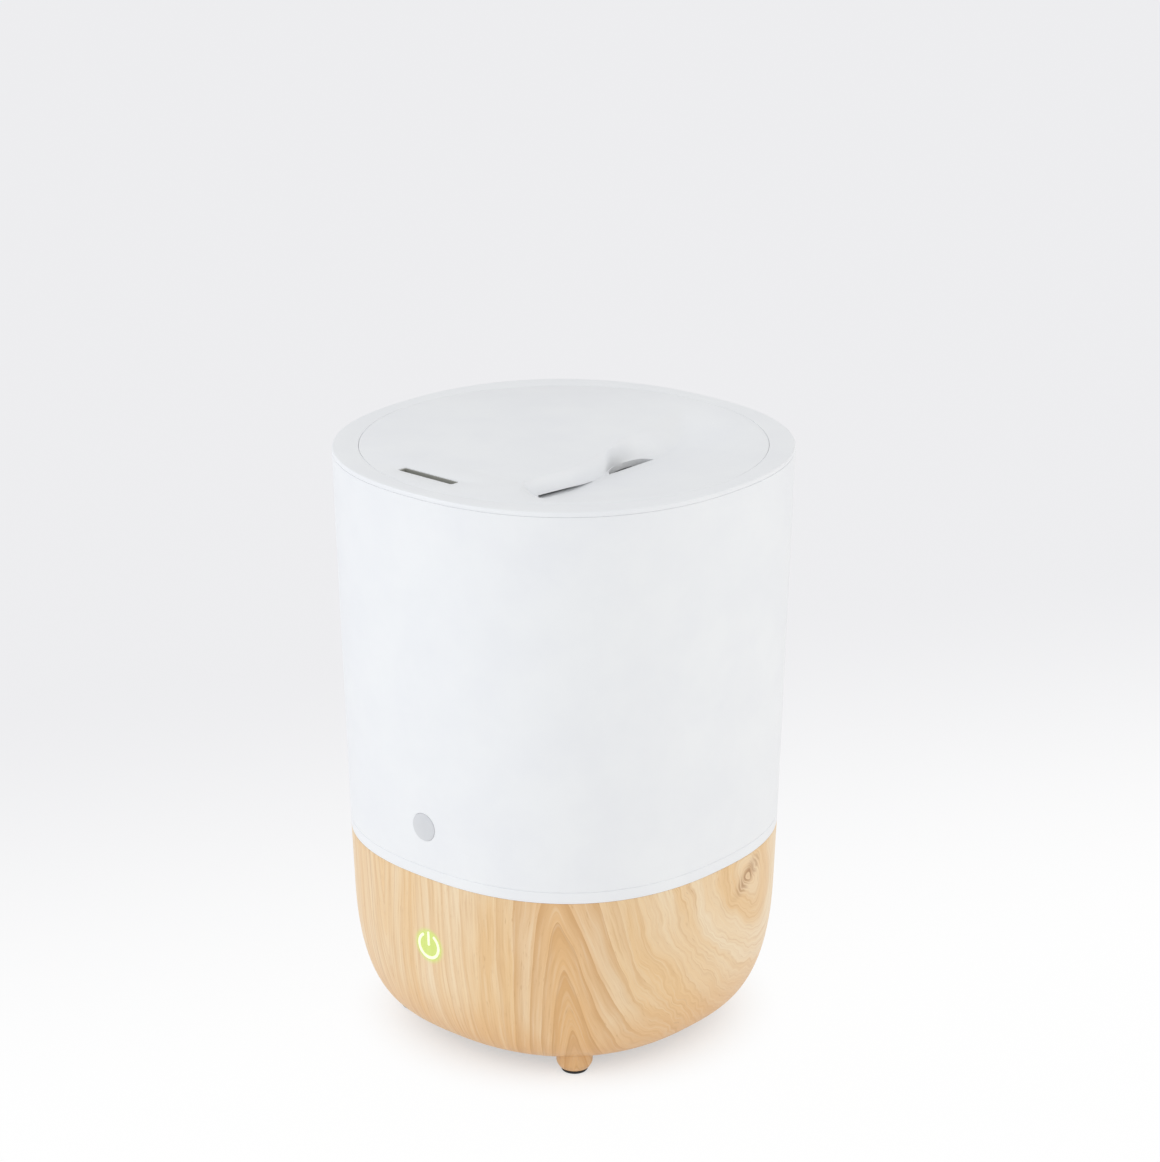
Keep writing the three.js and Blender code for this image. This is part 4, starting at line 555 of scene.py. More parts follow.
def make_wood():
    """Oak-look film under a satin coat, wrapped round a moulded ABS bowl. Its growth lines stand
    upright on the front, close into a flame at the front corner and another by the film's joint
    on the left, and bend round a knot high on the right."""
    material, add, shader, place = new_material("Oak look film on ABS")

    def reach(a, b, ease=0.0):
        """How far two offsets reach together, eased where both are small."""
        rest = add("Math MULTIPLY_ADD", (b, b, ease * ease))
        return add("Math SQRT", (add("Math MULTIPLY_ADD", (a, a, rest)),))

    # Round the bowl from the front corner, rightwards, and up it, in metres.
    x, y, up = add("SeparateXYZ", (place,)).node.outputs
    half = math.sqrt(0.5)
    outward = add("Math MULTIPLY_ADD", (x, half, add("Math MULTIPLY", (y, -half))))
    sideways = add("Math MULTIPLY_ADD", (x, half, add("Math MULTIPLY", (y, half))))
    across = add("Math MULTIPLY", (add("Math ARCTAN2", (sideways, outward)), FILM_RADIUS))
    plane = add("CombineXYZ", (across, up, 0))

    def drift(scale, shift, amount):
        """Strays to both sides by up to half an amount, over the film."""
        spread = noise(add, plane, (*scale, 1), 2, shift)
        return add("Math MULTIPLY", (add("Math ADD", (spread, -0.5)), amount))

    def flame(axis, lean, rise, width):
        """The distance from a leaning axis, and the same raised beside the axis with height, so
        that its lines close into arches there."""
        middle = add("Math MULTIPLY_ADD", (up, lean, axis))
        away = reach(add("Math SUBTRACT", (across, middle)), 0.0, 0.8 * MM)
        near = add("Math EXPONENT", (add("Math MULTIPLY", (away, -1 / width)),))
        return away, add("Math MULTIPLY_ADD", (add("Math MULTIPLY", (up, rise)), near, away))

    heart, corner = flame(1 * MM, -0.12, 0.25, 40 * MM)
    joint = flame(-FILM_JOIN, 0.0, -0.16, 22 * MM)[1]
    # The knot: distance from an eye, drawn out along a slant.
    stray = drift((60, 60), 12.7, 7.5 * MM)
    eye_x, eye_z = (add("Math ADD", (add("Math ADD", (offset, -at)), stray))
                    for offset, at in zip((across, up), KNOT))

    def slanted(share_x, share_z):
        return add("Math MULTIPLY_ADD", (eye_x, share_x, add("Math MULTIPLY", (eye_z, share_z))))

    eye = reach(slanted(0.40, -0.48), slanted(0.77, 0.64), 1.5 * MM)
    core = reach(slanted(0.38, 0.24), slanted(-0.53, 0.85))
    side = add("MapRange", (across, 4 * MM, 54 * MM), **EASED)
    lines = add("Mix", {0: side, 2: corner, 3: add("Math SUBTRACT", (FILM_JOIN, eye))})
    lines = add("Mix", {0: add("MapRange", (across, -70 * MM, -90 * MM), **EASED), 2: lines,
                        3: add("Math SUBTRACT", (FILM_JOIN, joint))})
    beyond = add("Math LESS_THAN", (across, -FILM_EDGE))
    lines = add("Math MULTIPLY_ADD", (beyond, 31 * MM, lines))

    # The lines waver slowly everywhere and ripple towards the knot.
    waver = drift((38, 11), 3.1, 7 * MM)
    ripple = drift((95, 95), 8.3, add("Math MULTIPLY_ADD", (side, 2.2 * MM, 0.5 * MM)))
    lines = add("Math ADD", (lines, add("Math ADD", (waver, ripple))))
    along = add("CombineXYZ", (lines, up, across))

    def grain(width, length, detail=2.0, shift=0.0):
        """Noise drawn out along the lines."""
        return noise(add, along, (1 / width, 1 / length, 0.3 / length), detail, shift)

    def ring(period, power, shift):
        """Growth rings of uneven width: each darkens slowly and returns quickly."""
        uneven = add("Math MULTIPLY", (grain(2.2 * period, 240 * MM, 1, shift), 1.6))
        step = add("Math FRACT", (add("Math MULTIPLY_ADD", (lines, 1 / period, uneven)),))
        return add("Math POWER", (step, power))

    band = grain(15 * MM, 130 * MM, 3, 1.7)
    patch = add("MapRange", (grain(12 * MM, 45 * MM, 2, 5.0), 0, 1, 0, 1.3))
    streak = grain(1.1 * MM, 32 * MM, 3, 2.9)
    fibre = grain(0.42 * MM, 11 * MM, 2, 6.1)
    pore = grain(0.5 * MM, 5 * MM, 1, 9.4)

    warm = add("Math MAXIMUM", (add("MapRange", (heart, 5 * MM, 28 * MM, 0.62, 0), **EASED),
                                add("MapRange", (up, 45 * MM, 12 * MM, 0, 0.6), **EASED)))
    patchy = add("Math MULTIPLY", (patch, add("Math MULTIPLY_ADD", (side, -0.3, 0.45))))
    depth = add("Math ADD", (add("MapRange", (heart, 12 * MM, 40 * MM, 0.4, 0), **EASED), patchy))
    fine = add("Math MULTIPLY", (add("Math SUBTRACT", (1.2, patch)), 0.2))
    smear = add("Math MULTIPLY", (add("MapRange", (core, 7 * MM, 1 * MM), **EASED),
                                  add("MapRange", (streak, 0.3, 0.6), **EASED)))
    from_edge = add("Math ABSOLUTE", (add("Math ADD", (across, FILM_EDGE)),))
    # The lamp behind the touch symbol lights the film inside and round the ring.
    radius = reach(x, add("Math ADD", (up, -SYMBOL_LEVEL)))
    glow = add("MapRange", (radius, 5.4 * MM, 9.4 * MM, 1, 0), interpolation_type="SMOOTHERSTEP")
    glow = add("Math MULTIPLY", (glow, add("Math LESS_THAN", (y, 0))))

    colour = tint(add, band, "#EFCB98", "#F6E1BF", 0.34, 0.66)
    for factor, code in (
        (warm, "#E4AF6C"),
        (add("Math MULTIPLY", (ring(6.4 * MM, 2.2, 4.4), depth)), "#CF9B5E"),
        (add("Math MULTIPLY", (ring(2.1 * MM, 1.6, 7.7), fine)), "#D6A870"),
        (add("MapRange", (streak, 0.53, 0.7, 0, 0.34)), "#D1A26A"),
        (add("MapRange", (streak, 0.48, 0.3, 0, 0.26)), "#F8E6C8"),
        (add("MapRange", (fibre, 0.55, 0.75, 0, 0.22)), "#CE9F69"),
        (add("MapRange", (pore, 0.66, 0.8, 0, 0.35)), "#BE8B55"),
        (add("Math MULTIPLY", (smear, 0.85)), "#A97543"),
        (add("MapRange", (from_edge, 0, 0.6 * MM, 0.4, 0), **EASED), "#BC8F5C"),
        (add("Math MULTIPLY", (glow, 0.85)), "#C9DC76"),
    ):
        colour = add("Mix", {0: factor, 6: colour, 7: rgba(code)}, 2, data_type="RGBA")
    relief = add("Math ADD", (streak, fibre))
    set_sockets(shader, {
        "Base Color": colour, "IOR": 1.5, "Coat Weight": 0.12, "Coat Roughness": 0.3,
        "Roughness": add("MapRange", (streak, 0, 1, 0.36, 0.5)),
        "Normal": add("Bump", {"Height": relief, "Distance": 0.03 * MM, "Strength": 0.3}),
        "Emission Color": rgba("#C1EB55"),
        "Emission Strength": add("Math MULTIPLY", (glow, 0.16)),
    })
    return material


def make_foam():
    """Closed-cell foam: small pale beads pressed together."""
    material, add, shader, place = new_material("Closed-cell foam")
    cells = add("TexVoronoi", {"Vector": place, "Scale": 1 / (1.6 * MM)}, "Distance")
    set_sockets(shader, {
        "Base Color": tint(add, cells, "#F1F2F3", "#DADDE0", 0.2, 0.9), "Roughness": 0.85,
        "Normal": add("Bump", {"Height": cells, "Distance": -0.2 * MM, "Strength": 0.7}),
    })
    return material


def make_board():
    """Green solder mask over copper: dark tracks under a satin lacquer."""
    material, add, shader, place = new_material("Solder-masked circuit board")
    tracks = add("TexBrick", {
        "Vector": place, "Scale": 1 / (14 * MM), "Mortar Size": 0.03, "Brick Width": 0.5,
        "Row Height": 0.18, "Color1": rgba("#1F5A37"), "Color2": rgba("#246841"),
        "Mortar": rgba("#2F7F4F"),
    }).node.outputs
    set_sockets(shader, {
        "Base Color": tracks["Color"], "Roughness": 0.35,
        "Normal": add("Bump", {"Height": tracks["Fac"], "Distance": 0.03 * MM, "Strength": 0.6}),
    })
    return material


def make_lit():
    """The lamp's light behind a milky inlay: brightest in the stroke, with a soft edge."""
    material, add, shader, place = new_material("Back-lit milky inlay")
    cloud = noise(add, place, [1 / (2 * MM)] * 3)
    set_sockets(shader, {
        "Base Color": tint(add, cloud, "#E4ECC4", "#EBF2D0"), "Roughness": 0.4,
        "Emission Color": rgba("#FBFDE4"),
        "Emission Strength": add("MapRange", (cloud, 0, 1, 0.24, 0.36)),
    })
    return material


def make_finishes():
    """Every finish of the object, by the record's material slot."""
    lit = make_lit()
    return {
        # ABS from a fine spark-eroded mould: satin, bluish white, with an even soft sheen.
        "white_plastic": moulded("Satin white ABS", "#F0F2F5", "#F3F5F7", 0.38),
        "wood_look_shell": make_wood(),
        # Printed ABS disc: flat grey with a slight sheen.
        "grey_plastic": moulded("Satin grey ABS", "#D3D5D9", "#DCDEE1", 0.35, 0.3 * MM),
        # Grey ABS of the mist sleeve. Its grey is partly its own tone and partly painted shade of
        # the deep, narrow mist slot. Satin, a little duller where the mist keeps it damp.
        "smoke_plastic": moulded("Grey ABS with painted slot shade", "#9B9B94", "#A6A69F", 0.42),
        # Glass-filled polypropylene: dull black with a coarse grain.
        "dark_plastic": moulded("Black polypropylene", "#1D1E20", "#292A2C", 0.5, 0.6 * MM,
                                0.05 * MM),
        # Moulded rubber: nearly black, dull, faintly dusty.
        "black_rubber": moulded("Black rubber", "#0C0C0D", "#141415", 0.62, 0.4 * MM, 0.04 * MM),
        # Cast silicone: milky, soft-edged highlights, a little light passes through.
        "silicone": moulded("Translucent silicone", "#C3C8CD", "#D3D7DB", 0.45, ior=1.41,
                            Subsurface_Weight=0.1),
        # Plated, drawn, cast and silvered metals: grey with broad, streaked highlights.
        "screw_steel": metal("Zinc plated steel", "#A9ACAF", "#C6C9CB", 0.34),
        "spring_steel": metal("Stainless spring wire", "#B4B7BA", "#D0D3D6", 0.22),
        "aluminium": metal("Die-cast aluminium", "#BCBFC2", "#D2D4D6", 0.42, grain=0.5 * MM),
        "piezo_ceramic": metal("Silvered piezo ceramic", "#CFCBBF", "#E2DFD5", 0.3),
        "copper_wire": metal("Enamelled copper wire", "#A5602E", "#C27C42", 0.3, (1, 1, 12)),
        "circuit_board": make_board(),
        # Extruded PVC: black with a soft sheen.
        "wire_cover": moulded("PVC wire cover", "#17181A", "#242527", 0.45),
        # Frosted polycarbonate: pale, half clear.
        "clear_plastic": moulded("Frosted polycarbonate", "#E2E6EA", "#EEF1F3", 0.3, ior=1.58,
                                 Transmission_Weight=0.35),
        "led_lens": lit,
        "lit_symbol": lit,
        "float_foam": make_foam(),
    }


FINISHES = {}


def finish_of(slot):
    """The finish of a slot, made when one is first asked for."""
    if not FINISHES:
        FINISHES.update(make_finishes())
    return FINISHES[slot]


# ---- Settings --------------------------------------------------------------------------------


class HumidifierSizes(bpy.types.PropertyGroup):
    """Sizes of the fine shapes that the pieces get."""

    edge: bpy.props.FloatProperty(
        name="Edge rounding", description="Rounding of the moulded pieces' outer edges",
        default=0.5 * MM, min=0.05 * MM, unit="LENGTH")
    seam: bpy.props.FloatProperty(
        name="Seam rounding", description="Rounding of the edges that meet along a seam",
        default=0.1 * MM, min=0.02 * MM, unit="LENGTH")
    land: bpy.props.FloatProperty(
        name="Seam land", description="Height of the ridge that closes a seam from behind",
        default=0.25 * MM, min=0, max=0.28 * MM, unit="LENGTH")
    set_back: bpy.props.FloatProperty(
        name="Seam set-back", description="Distance of that ridge behind the outer surface",
        default=0.18 * MM, min=0.05 * MM, unit="LENGTH")
    lip_round: bpy.props.FloatProperty(
        name="Lip rounding", description="How far the lid eases over before the pour lip drops",
        default=3.2 * MM, min=0.2 * MM, unit="LENGTH")
    slit: bpy.props.FloatProperty(
        name="Drain slit", description="Height of the slit at the foot of the pour lip",
        default=1.5 * MM, min=0.2 * MM, unit="LENGTH")
    hollow_depth: bpy.props.FloatProperty(
        name="Hollow depth", description="Depth of the lid's pour hollow",
        default=8.8 * MM, min=1 * MM, max=9 * MM, unit="LENGTH")
    outline: bpy.props.IntProperty(
        name="Outline points", description="Points round each shell of the body",
        default=192, min=48, max=512)


class HumidifierLight(bpy.types.PropertyGroup):
    """Studio light and surroundings."""

    key: bpy.props.FloatProperty(
        name="Key light", description="Power of the soft light in front",
        default=5.1, min=0, unit="POWER")
    fill: bpy.props.FloatProperty(
        name="Fill light", description="Power of the soft light on the right",
        default=2.95, min=0, unit="POWER")
    sky: bpy.props.FloatProperty(
        name="Surrounding light", description="Strength of the light from all round",
        default=0.83, min=0)
    lean: bpy.props.FloatProperty(
        name="Light lean", description="How much stronger the light from the front is",
        default=0.126, min=0, max=1)
    # Painted light: these floor colours paint the studio light's pool, white under the object and
    # pale grey where the light falls off.
    floor_near: bpy.props.FloatVectorProperty(
        name="Floor near", description="Floor colour under the object",
        default=linear("#FFFFFF"), subtype="COLOR", size=3, min=0, max=1)
    floor_far: bpy.props.FloatVectorProperty(
        name="Floor far", description="Floor colour in the distance",
        default=linear("#EEEEF0"), subtype="COLOR", size=3, min=0, max=1)


def sizes():
    return bpy.context.scene.humidifier_sizes


# ---- The stage ---------------------------------------------------------------------------------


class HUMIDIFIER_OT_stage(bpy.types.Operator):
    """Add the camera, the studio light and the floor"""

    bl_idname = "humidifier.stage"
    bl_label = "Stage"

    def execute(self, context):
        light = context.scene.humidifier_light
        self.add_camera(context)
        self.add_world(context, light)
        self.add_lamp("key_light", light.key, (-0.76, -1.32, 0.9), 1.1, "#F2F7FF")
        self.add_lamp("fill_light", light.fill, (1.14, 0.66, 0.8), 1.0, "#FFFBF5")
        self.add_floor(light)
        return {"FINISHED"}

    def add_camera(self, context):
        data = bpy.data.cameras.new("camera")
        data.lens = CAMERA_LENS
        data.sensor_width = 36
        data.clip_end = 100
        camera = bpy.data.objects.new("camera", data)
        context.scene.collection.objects.link(camera)
        camera.location = CAMERA_PLACE
        camera.rotation_euler = (math.pi / 2 - CAMERA_PITCH, 0, CAMERA_HEADING)
        context.scene.camera = camera
        context.scene.view_settings.view_transform = "Standard"

    def add_world(self, context, light):
        world = bpy.data.worlds.new("studio")
        context.scene.world = world
        world.use_nodes = True
        add = partial(add_node, world.node_tree)
        # Brightest from low in front, dimmest from above and behind, which darkens the outline.
        place = add("TexCoord", out="Generated")
        side = add("VectorMath DOT_PRODUCT", (place, SKY_TOWARDS), "Value")
        set_sockets(world.node_tree.nodes["Background"], {
            "Color": rgba("#FFFFFF"),
            "Strength": add("Math MULTIPLY_ADD", (side, light.lean, light.sky)),
        })

    def add_lamp(self, name, power, place, size, colour):
        bpy.ops.object.select_all(action="DESELECT")
        bpy.ops.object.light_add(type="AREA", location=place)
        lamp = bpy.context.object
        lamp.name = name
        lamp.data.energy = power
        lamp.data.size = size
        lamp.data.color = linear(colour)
        aim = Vector(LAMP_AIM) - Vector(place)
        lamp.rotation_euler = aim.to_track_quat("-Z", "Y").to_euler()

    def add_floor(self, light):
        floor = start_from("plane", "floor", size=24, location=(0, 0, 0))
        material, add, shader, place = new_material("Pale studio floor")
        material.node_tree.nodes.remove(shader)
        # Painted light: the sweep's colour dims from white under the object to pale grey beyond it,
        # sooner on the left, standing in for the studio light's falloff.
        run = add("VectorMath DOT_PRODUCT", (place, FLOOR_DIMS_TOWARDS), "Value")
        colour = add("Mix", {
            0: add("MapRange", (run, -0.05, 0.5), **EASED),
            6: (*light.floor_near, 1), 7: (*light.floor_far, 1),
        }, 2, data_type="RGBA")
        path = add("LightPath").node.outputs
        seen = add("Math ADD", (path["Is Camera Ray"], path["Is Glossy Ray"]))
        seen = add("Math ADD", (seen, path["Is Transmission Ray"]), use_clamp=True)
        # Close to the object the matte part rules, so that the contact shadow shows.
        length = add("VectorMath LENGTH", (place,), "Value")
        open_floor = add("MapRange", (length, 0.055, 0.1, 0.5, 0.97), **EASED)
        mixed = add("MixShader", (
            add("Math MULTIPLY", (seen, open_floor)), add("BsdfDiffuse", {"Color": colour}),
            add("Emission", {"Color": colour, "Strength": 1.0}),
        ))
        set_sockets(material.node_tree.nodes["Material Output"], {"Surface": mixed})
        floor.data.materials.append(material)


# ---- Base --------------------------------------------------------------------------------------


def symbol_ring(grow, bottom, top):
    """The power symbol's open ring as a plate with round ends, in the wall's frame."""
    middle, half = 5.55 * MM, 0.65 * MM + grow
    gap = math.radians(35)
    ring = start_from("circle", "ring", vertices=144, radius=middle - half,
                      location=(0, 0, bottom))
    select_points(ring, lambda co: abs(math.atan2(co.x, co.y)) < gap - 1e-4)
    edit()
    bpy.ops.mesh.delete(type="VERT")
    bpy.ops.mesh.select_all(action="SELECT")
    bpy.ops.mesh.extrude_edges_move(TRANSFORM_OT_translate={"value": (0, 0, 0)})
    factor = (middle + half) / (middle - half)
    bpy.ops.transform.resize(value=(factor, factor, 1), center_override=(0, 0, bottom))
    raise_solid(top - bottom)
    settle(ring)
    ends = []
    for side in (-1, 1):
        place = (side * middle * math.sin(gap), middle * math.cos(gap))
        ends.append(drum("end", half, bottom, top, place, ease=0, segments=32))
    return fuse(ring, ends)


def symbol_bar(grow, bottom, top):
    """The power symbol's upright bar with round ends, in the wall's frame."""
    half = 0.65 * MM + grow
    bar = drum("bar", half, bottom, top, ease=0, segments=32)
    select_points(bar, lambda co: co.y > 1e-6)
    edit()
    bpy.ops.transform.translate(value=(0, 6.7 * MM - 2 * half + 2 * grow, 0))
    leave_edit()
    return move(bar, (0, half - grow, 0))


class HUMIDIFIER_OT_base_bowl(bpy.types.Operator):
    """Model the wood-look bowl with its feet, its hatch and the seats for symbol and jack"""

    bl_idname = "humidifier.base_bowl"
    bl_label = "Base bowl"

    def execute(self, context):
        edge, seam = sizes().edge, sizes().seam
        outside = bowl_profile(0, 22)[::-1]
        inside = bowl_profile(BOWL_WALL, 10)
        rim = half_width(WAIST)
        profile = [(rim - seam, WAIST), (rim - 0.3 * seam, WAIST - 0.3 * seam), (rim, WAIST - seam)]
        profile += levels(outside[0][1], WAIST - 3 * MM, 0, 2)[::-1]
        profile += outside[1:]
        hatch = [(HATCH_RADIUS, BOWL_BOTTOM, edge), (HATCH_RADIUS, BOWL_BOTTOM + BOWL_WALL, edge)]
        profile += rounded([(*profile[-1], 0), *hatch, (*inside[0], 0)], 3)[1:]
        profile += inside[1:]
        profile += [(rim - BOWL_WALL, WAIST)]
        bowl = turned("bowl", profile, sizes().outline)
        square_off(bowl, HATCH_RADIUS + 0.5 * MM)
        fuse(bowl, [self.foot(place) for place in FEET])
        carve(bowl, self.cutters())
        finish_piece(bowl, "wood_look_bowl", "base", "base_shell", "wood_look_shell")
        return {"FINISHED"}

    def foot(self, place):
        corners = [
            (3.5 * MM, FOOT_END, 0), (6.3 * MM, FOOT_END, 0.5 * MM),
            (7.9 * MM, FOOT_END + 2.5 * MM, 1.2 * MM), (7.9 * MM, 13.3 * MM, 0),
            (3.5 * MM, 13.3 * MM, 0),
        ]
        return turned("foot", rounded(corners), 48, capped=True, place=place)

    def cutters(self):
        seat = FOOT_END + 2.4 * MM
        pocket = [(2.0 * MM, 0), (3.2 * MM, 0), (3.2 * MM, seat), (SCREW_HOLE, seat),
                  (SCREW_HOLE, 15 * MM), (1.0 * MM, 15 * MM)]
        tools = [turned("pocket", pocket, 32, capped=True, place=place) for place in FEET]
        tools += [drum("screw_hole", SCREW_HOLE, 0, 12 * MM, place, 0, 24)
                  for place in PLATE_SCREWS]
        tools.append(lay(drum("jack_hole", 4.3 * MM, 0, 20 * MM, ease=0),
                         (0, half_width(JACK_LEVEL) - 10 * MM, JACK_LEVEL), -90))
        matrix = wall_frame(SYMBOL_LEVEL)
        for shape in (symbol_ring, symbol_bar):
            tools.append(place_on(shape(0.08 * MM, -1.3 * MM, 1 * MM), matrix))
        return tools


class HUMIDIFIER_OT_power_symbol(bpy.types.Operator):
    """Model the back-lit touch symbol"""

    bl_idname = "humidifier.power_symbol"
    bl_label = "Power symbol"

    def execute(self, context):
        for shape, node in ((symbol_ring, "power_symbol_ring"), (symbol_bar, "power_symbol_bar")):
            piece = place_on(shape(0, -1 * MM, 0.12 * MM), wall_frame(SYMBOL_LEVEL))
            finish_piece(piece, "lit_" + node, "base", node, "lit_symbol")
        return {"FINISHED"}


def screw(name, length, place):
    """A pan-head screw pointing up, with a cross recess underneath and a rolled thread."""
    head = [(1.0, -1.8, 0), (1.9, -1.8, 0.3), (2.9, -1.0, 0.6), (2.9, 0, 0.15), (1.2, 0, 0)]
    profile = [(r * MM, z * MM) for r, z in rounded(head, 3)]
    pitch = 1.1 * MM
    turns = int(length / pitch) - 1
    for i in range(turns):
        z = (i + 0.5) * pitch
        profile += [(1.18 * MM, z), (1.48 * MM, z + 0.45 * pitch)]
    profile += [(1.1 * MM, length - 0.8 * MM), (0.4 * MM, length)]
    body = turned(name, profile, 24, capped=True)
    arms = [block("arm", (-x * MM, -y * MM, -3 * MM), (x * MM, y * MM, -0.7 * MM))
            for x, y in ((1.7, 0.33), (0.33, 1.7))]
    carve(body, [fuse(arms[0], [arms[1]])])
    return move(body, place)


class HUMIDIFIER_OT_screws(bpy.types.Operator):
    """Model each kind of screw once and copy it to its places"""

    bl_idname = "humidifier.screws"
    bl_label = "Screws"

    def execute(self, context):
        for kind, places, length in (("deck_screw", FEET, 16), ("plate_screw", PLATE_SCREWS, 6.5),
                                     ("transducer_screw", HOLDER_SCREWS, 11)):
            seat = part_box(kind + "_1")[0].z + 1.8 * MM
            first = screw(kind, length * MM, (*places[0], seat))
            pieces = [first] + [self.another(first, place, places[0]) for place in places[1:]]
            for number, piece in enumerate(pieces, 1):
                finish_piece(piece, f"{kind}_{number}_cross_head", "base", f"{kind}_{number}",
                             "screw_steel")
        return {"FINISHED"}

    def another(self, first, place, first_place):
        """A copy of the first screw with its own mesh, at another place."""
        piece = first.copy()
        piece.data = first.data.copy()
        bpy.context.scene.collection.objects.link(piece)
        offset = (place[0] - first_place[0], place[1] - first_place[1], 0)
        piece.data.transform(Matrix.Translation(offset))
        return piece


class HUMIDIFIER_OT_foot_pads(bpy.types.Operator):
    """Model the rubber pads under the feet"""

    bl_idname = "humidifier.foot_pads"
    bl_label = "Foot pads"

    def execute(self, context):
        corners = [(3 * MM, 0, 0), (5.3 * MM, 0, 0.5 * MM), (5.8 * MM, 0.7 * MM, 0.4 * MM),
                   (5.8 * MM, 1.4 * MM, 0.3 * MM), (3 * MM, 1.4 * MM, 0)]
        for number, place in enumerate(FEET, 1):
            pad = turned("pad", rounded(corners), 48, capped=True, place=place)
            finish_piece(pad, f"rubber_foot_{number}", "base", f"foot_pad_{number}",
                         "black_rubber")
        return {"FINISHED"}


class HUMIDIFIER_OT_bottom_plate(bpy.types.Operator):
    """Model the service plate with its air grille"""

    bl_idname = "humidifier.bottom_plate"
    bl_label = "Bottom plate"

    def execute(self, context):
        bottom = PLATE_TOP - 1.9 * MM
        corners = [(20 * MM, bottom, 0), (57.5 * MM, bottom, 0.6 * MM),
                   (57.5 * MM, PLATE_TOP, 0.2 * MM), (50.7 * MM, PLATE_TOP, 0),
                   (50.7 * MM, PLATE_TOP + 2.4 * MM, 0.3 * MM),
                   (49.1 * MM, PLATE_TOP + 2.4 * MM, 0.3 * MM), (49.1 * MM, PLATE_TOP, 0),
                   (20 * MM, PLATE_TOP, 0)]
        plate = turned("plate", rounded(corners, 3), 96, capped=True)
        posts = [drum("post", 2.6 * MM, PLATE_TOP - 1 * MM, PLATE_TOP + 7.7 * MM, place)
                 for place in round_circle(22.4 * MM, 3, 90, BLOWER)]
        for x, y in ((10, 13), (-10, 13), (-10, -13), (10, -13)):
            place = ((x - 25) * MM, (y - 16) * MM)
            posts.append(drum("post", 2.2 * MM, PLATE_TOP - 1 * MM, PLATE_TOP + 11.7 * MM, place))
        fuse(plate, posts)
        tools = []
        for i in range(7):
            offset = (i - 3) * 5.4 * MM
            half = math.sqrt((19 * MM) ** 2 - offset ** 2)
            x = BLOWER[0] + offset
            slot = block("slot", (x - 1.5 * MM, BLOWER[1] - half, 0),
                         (x + 1.5 * MM, BLOWER[1] + half, PLATE_TOP + 1 * MM))
            select_edges(slot, lambda a, b: abs(a.z - b.z) > 1 * MM)
            bevel_selected(1.4 * MM, 5)
            tools.append(slot)
        tools += [drum("hole", SCREW_HOLE, 0, PLATE_TOP + 1 * MM, place, 0, 24)
                  for place in PLATE_SCREWS]
        carve(plate, tools)
        finish_piece(plate, "grilled_bottom_plate", "base", "bottom_plate", "dark_plastic")
        return {"FINISHED"}


class HUMIDIFIER_OT_jack(bpy.types.Operator):
    """Model the power jack in the back wall"""

    bl_idname = "humidifier.jack"
    bl_label = "Power jack"

    def execute(self, context):
        inner = [(2.9, 0, 0.2), (2.9, 9, 0), (0.9, 9, 0), (0.9, 1.2, 0.5)]
        outer = [(4, 17.8, 0.2), (4, 5.8, 0), (6.4, 5.8, 0.2), (6.4, 4.4, 0.2), (4, 4.4, 0),
                 (4, 0, 0.3)]
        corners = [(r * MM, z * MM, e * MM) for r, z, e in outer + inner]
        profile = rounded(corners, 3)
        profile = [(0.3 * MM, 17.8 * MM)] + profile + [(0.3 * MM, 1 * MM)]
        jack = turned("jack", profile, 48, capped=True)
        body = block("body", (-4.5 * MM, -5.5 * MM, 5 * MM), (4.5 * MM, 5.5 * MM, 17.8 * MM),
                     0.5 * MM)
        fuse(jack, [body])
        lay(jack, (0, half_width(JACK_LEVEL) - 0.5 * MM, JACK_LEVEL))
        finish_piece(jack, "power_jack", "base", "dc_jack", "dark_plastic")
        return {"FINISHED"}


